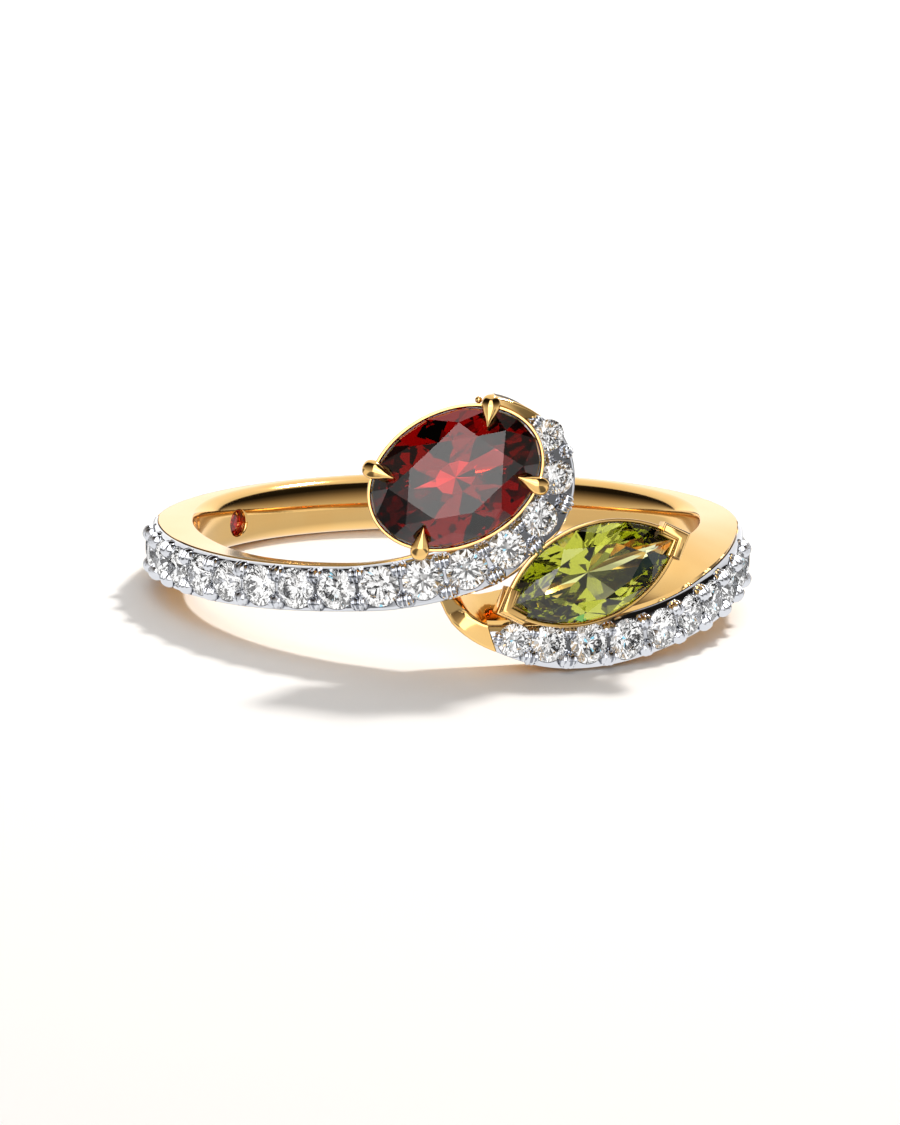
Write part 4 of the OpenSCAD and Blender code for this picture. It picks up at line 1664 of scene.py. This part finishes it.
    def card(
        self, g: Graph, way: Socket, towards: Sequence[float], wide: float, soft: float, gain: float,
    ) -> Socket:
        """A round card in the tent.

        Args:
            g: The world's graph.
            way: The direction that is looked at.
            towards: The direction of the card's middle.
            wide: Its half width, in radians.
            soft: The width of its soft edge, in radians.
            gain: What it is worth in its middle.

        Returns:
            gain on the card and 0 outside it.
        """
        given = {0: way, 1: Vector(towards).normalized()}
        dot = g.add("ShaderNodeVectorMath", given, operation="DOT_PRODUCT")
        card = g.remap(dot.outputs["Value"], math.cos(wide + soft), math.cos(wide), 0.0, 1.0)
        return g.math("MULTIPLY", card, gain)

    def softbox(self, g: Graph, x: Socket, y: Socket, z: Socket) -> Socket:
        """A narrow upright softbox above the camera: 1 on it and 0 outside it.

        Args:
            g: The world's graph.
            x: The direction to the right.
            y: The direction to the back.
            z: The direction up.

        Returns:
            1 on the softbox and 0 outside it.
        """
        narrow = g.remap(g.math("ABSOLUTE", g.bearing(x, y)), *self.box_side, 1.0, 0.0)
        foot = g.remap(z, *self.box_foot, 0.0, 1.0)
        top = g.remap(z, *self.box_top, 1.0, 0.0)
        return g.math("MULTIPLY", narrow, g.math("MULTIPLY", foot, top))

    def sparkle(self, g: Graph, way: Socket) -> Socket:
        """What light through a stone finds: small bright and dark patches, some of them tinted.

        Args:
            g: The world's graph.
            way: The direction that is looked at.

        Returns:
            The colour of the light.
        """
        pick = g.patches(way, self.sparkle_scale)
        bright = g.remap(pick[0], *self.patch_edge, *self.tent_patches)
        hue = g.add("ShaderNodeValToRGB", {"Fac": pick[1]})
        hue.color_ramp.interpolation = "CONSTANT"
        fill_ramp(hue.color_ramp, ((0.0, (0.25, 0.75, 1.0)), (0.07, (1, 1, 1)), (0.965, (1.0, 0.55, 0.15))))
        dark = self.card(g, way, *self.dark_card)
        bright = g.math("MULTIPLY", bright, g.math("SUBTRACT", 1.0, dark))
        return g.scaled(hue.outputs["Color"], bright)

    def lamp(
        self, name: str, shape: str, width: float, watts: float, at: Sequence[float],
    ) -> bpy.types.Object:
        """Hangs a lamp that looks straight down.

        Args:
            name: The lamp's name.
            shape: SQUARE or DISK.
            width: How wide it is, in metres.
            watts: Its power.
            at: Where it hangs, in metres.

        Returns:
            The lamp.
        """
        data = bpy.data.lights.new(name, "AREA")
        data.shape = shape
        data.size = width
        data.energy = watts
        hung = bpy.data.objects.new(name, data)
        hung.location = at
        bpy.context.scene.collection.objects.link(hung)
        return hung

    def lamps(self) -> None:
        """Hangs the key light behind and to the right, for the shadow to the front left, and a soft fill."""
        key = self.lamp("key", "SQUARE", self.key_w, self.key_watts, self.key_at)
        key.data.color = (1.0, 0.97, 0.93)
        aim = Vector((0, 0, 0.002)) - key.location
        key.rotation_euler = aim.to_track_quat("-Z", "Y").to_euler()
        fill = self.lamp("fill", "DISK", self.fill_w, self.fill_watts, self.fill_at)
        fill.visible_glossy = False
        fill.visible_transmission = False

    def build(self) -> None:
        """Builds the whole studio."""
        self.camera()
        self.floor()
        self.sky()
        self.lamps()
        scene = bpy.context.scene
        scene.view_settings.view_transform = "Standard"
        scene.cycles.caustics_reflective = True
        scene.cycles.caustics_refractive = False
        scene.cycles.max_bounces = 24
        scene.cycles.glossy_bounces = 14
        scene.cycles.transmission_bounces = 18


@dataclass
class Ring:
    """The whole ring."""

    finishes: Finishes
    form: HoopForm = field(default_factory=HoopForm)
    oval_size: tuple[float, float] = (5.82, 4.26)
    oval_crown: float = 0.6
    oval_pavilion: float = 1.68
    marquise_size: tuple[float, float] = (6.15, 3.0)
    marquise_crown: float = 0.45
    marquise_pavilion: float = 1.25
    inside_d: float = 0.92
    inside_crown: float = 0.08
    inside_pavilion: float = 0.28
    inside_sunk: float = 0.32

    # Where the large stones sit: the centre of the girdle, and the turn right, the tilt and the turn in plane
    oval_at: tuple[Numbers, Numbers] = ((0.31, -10.45, 4.2), (0, 9.6, 26.3))
    marquise_at: tuple[Numbers, Numbers] = ((4.8, -9.3, 0.81), (14, 8.5, 19.2))

    # The diamonds, as shares of their width
    diamond_crown: float = 0.15
    diamond_pavilion: float = 0.43

    def beds(self) -> list[PaveBed]:
        """Both white beds.

        Returns:
            The left bed and the right bed.
        """
        left = PaveBed(
            "left_bed", "left_pave_bed", self.form, self.form.left_rows, top_r=10.05, first=0.75,
            pitch=1.49, count=16, shrink_from=lambda i: 0.08 * max(0, i - 12), end_at_start=False,
        )
        right = PaveBed(
            "right_bed", "right_pave_bed", self.form, self.form.right_rows, top_r=10.15, first=0.76,
            pitch=1.45, count=10, shrink_from=lambda i: 0.13 * max(0, 3 - i), end_at_start=True,
            nudges=(0.0, -0.25, -0.24, -0.18, -0.05), upper_drop=0.12,
        )
        return [left, right]

    def diamond(self, bed: PaveBed, i: int) -> CutStone:
        """Diamond i of a bed.

        Args:
            bed: The bed that it sits in.
            i: Its number, from 1.

        Returns:
            The diamond.
        """
        side = bed.node.split("_")[0]
        d = bed.size(i)
        place = self.form.seat(bed.at(i), bed.top_r) @ turned("Z", 22.5 * (i % 3))
        return CutStone(
            f"{side}_brilliant_{i:02d}", f"{side}_diamond_{i:02d}", d, d, self.diamond_crown * d,
            self.diamond_pavilion * d, place, table=0.57, low=0.22, girdle=0.03, around=64,
        )

    def build(self) -> None:
        """Builds and dresses every piece."""
        finishes = self.finishes
        gold = Dressing("yellow_gold", finishes.gold, ("gold_band",))
        GoldHoop(self.form).build(gold)
        oval_place = large_place(*self.oval_at)
        marquise_place = large_place(*self.marquise_at)
        oval = OvalSetting(
            *self.oval_size, ellipse_at, oval_place, depth=1.4, foot=(-0.4, -0.62),
        )
        marquise = MarquiseSetting(
            *self.marquise_size, pointed_at, marquise_place, depth=1.25, foot=(-0.38, -0.6), reach=1.6,
        )
        oval.build(gold)
        marquise.build(gold)
        rooms = [oval.room(), marquise.room()]
        for bed in self.beds():
            bed.build(Dressing("white_gold", finishes.white, (bed.node,)), rooms)
            for i in range(1, bed.count + 1):
                self.diamond(bed, i).build("diamond", finishes.diamond)
        CutStone(
            "oval_garnet", "oval_stone", *self.oval_size, self.oval_crown, self.oval_pavilion, oval_place,
            under_petals=12, low=0.5, heart=0.24,
        ).build("red_stone", finishes.garnet)
        CutStone(
            "marquise_peridot", "marquise_stone", *self.marquise_size, self.marquise_crown,
            self.marquise_pavilion, marquise_place, pointed_at,
        ).build("green_stone", finishes.peridot)
        place = inside_place() @ Matrix.Translation((0, 0, -self.inside_sunk)) @ turned("Z", 90)
        CutStone(
            "inside_garnet", "inside_stone", self.inside_d, self.inside_d, self.inside_crown,
            self.inside_pavilion, place,
        ).build("small_red_stone", finishes.ruby)


def main() -> None:
    """Loads the part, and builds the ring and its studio."""
    logging.basicConfig(level=logging.INFO, format="%(message)s")
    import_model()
    Studio().build()
    Ring(Finishes()).build()


if __name__ == "__main__":
    main()
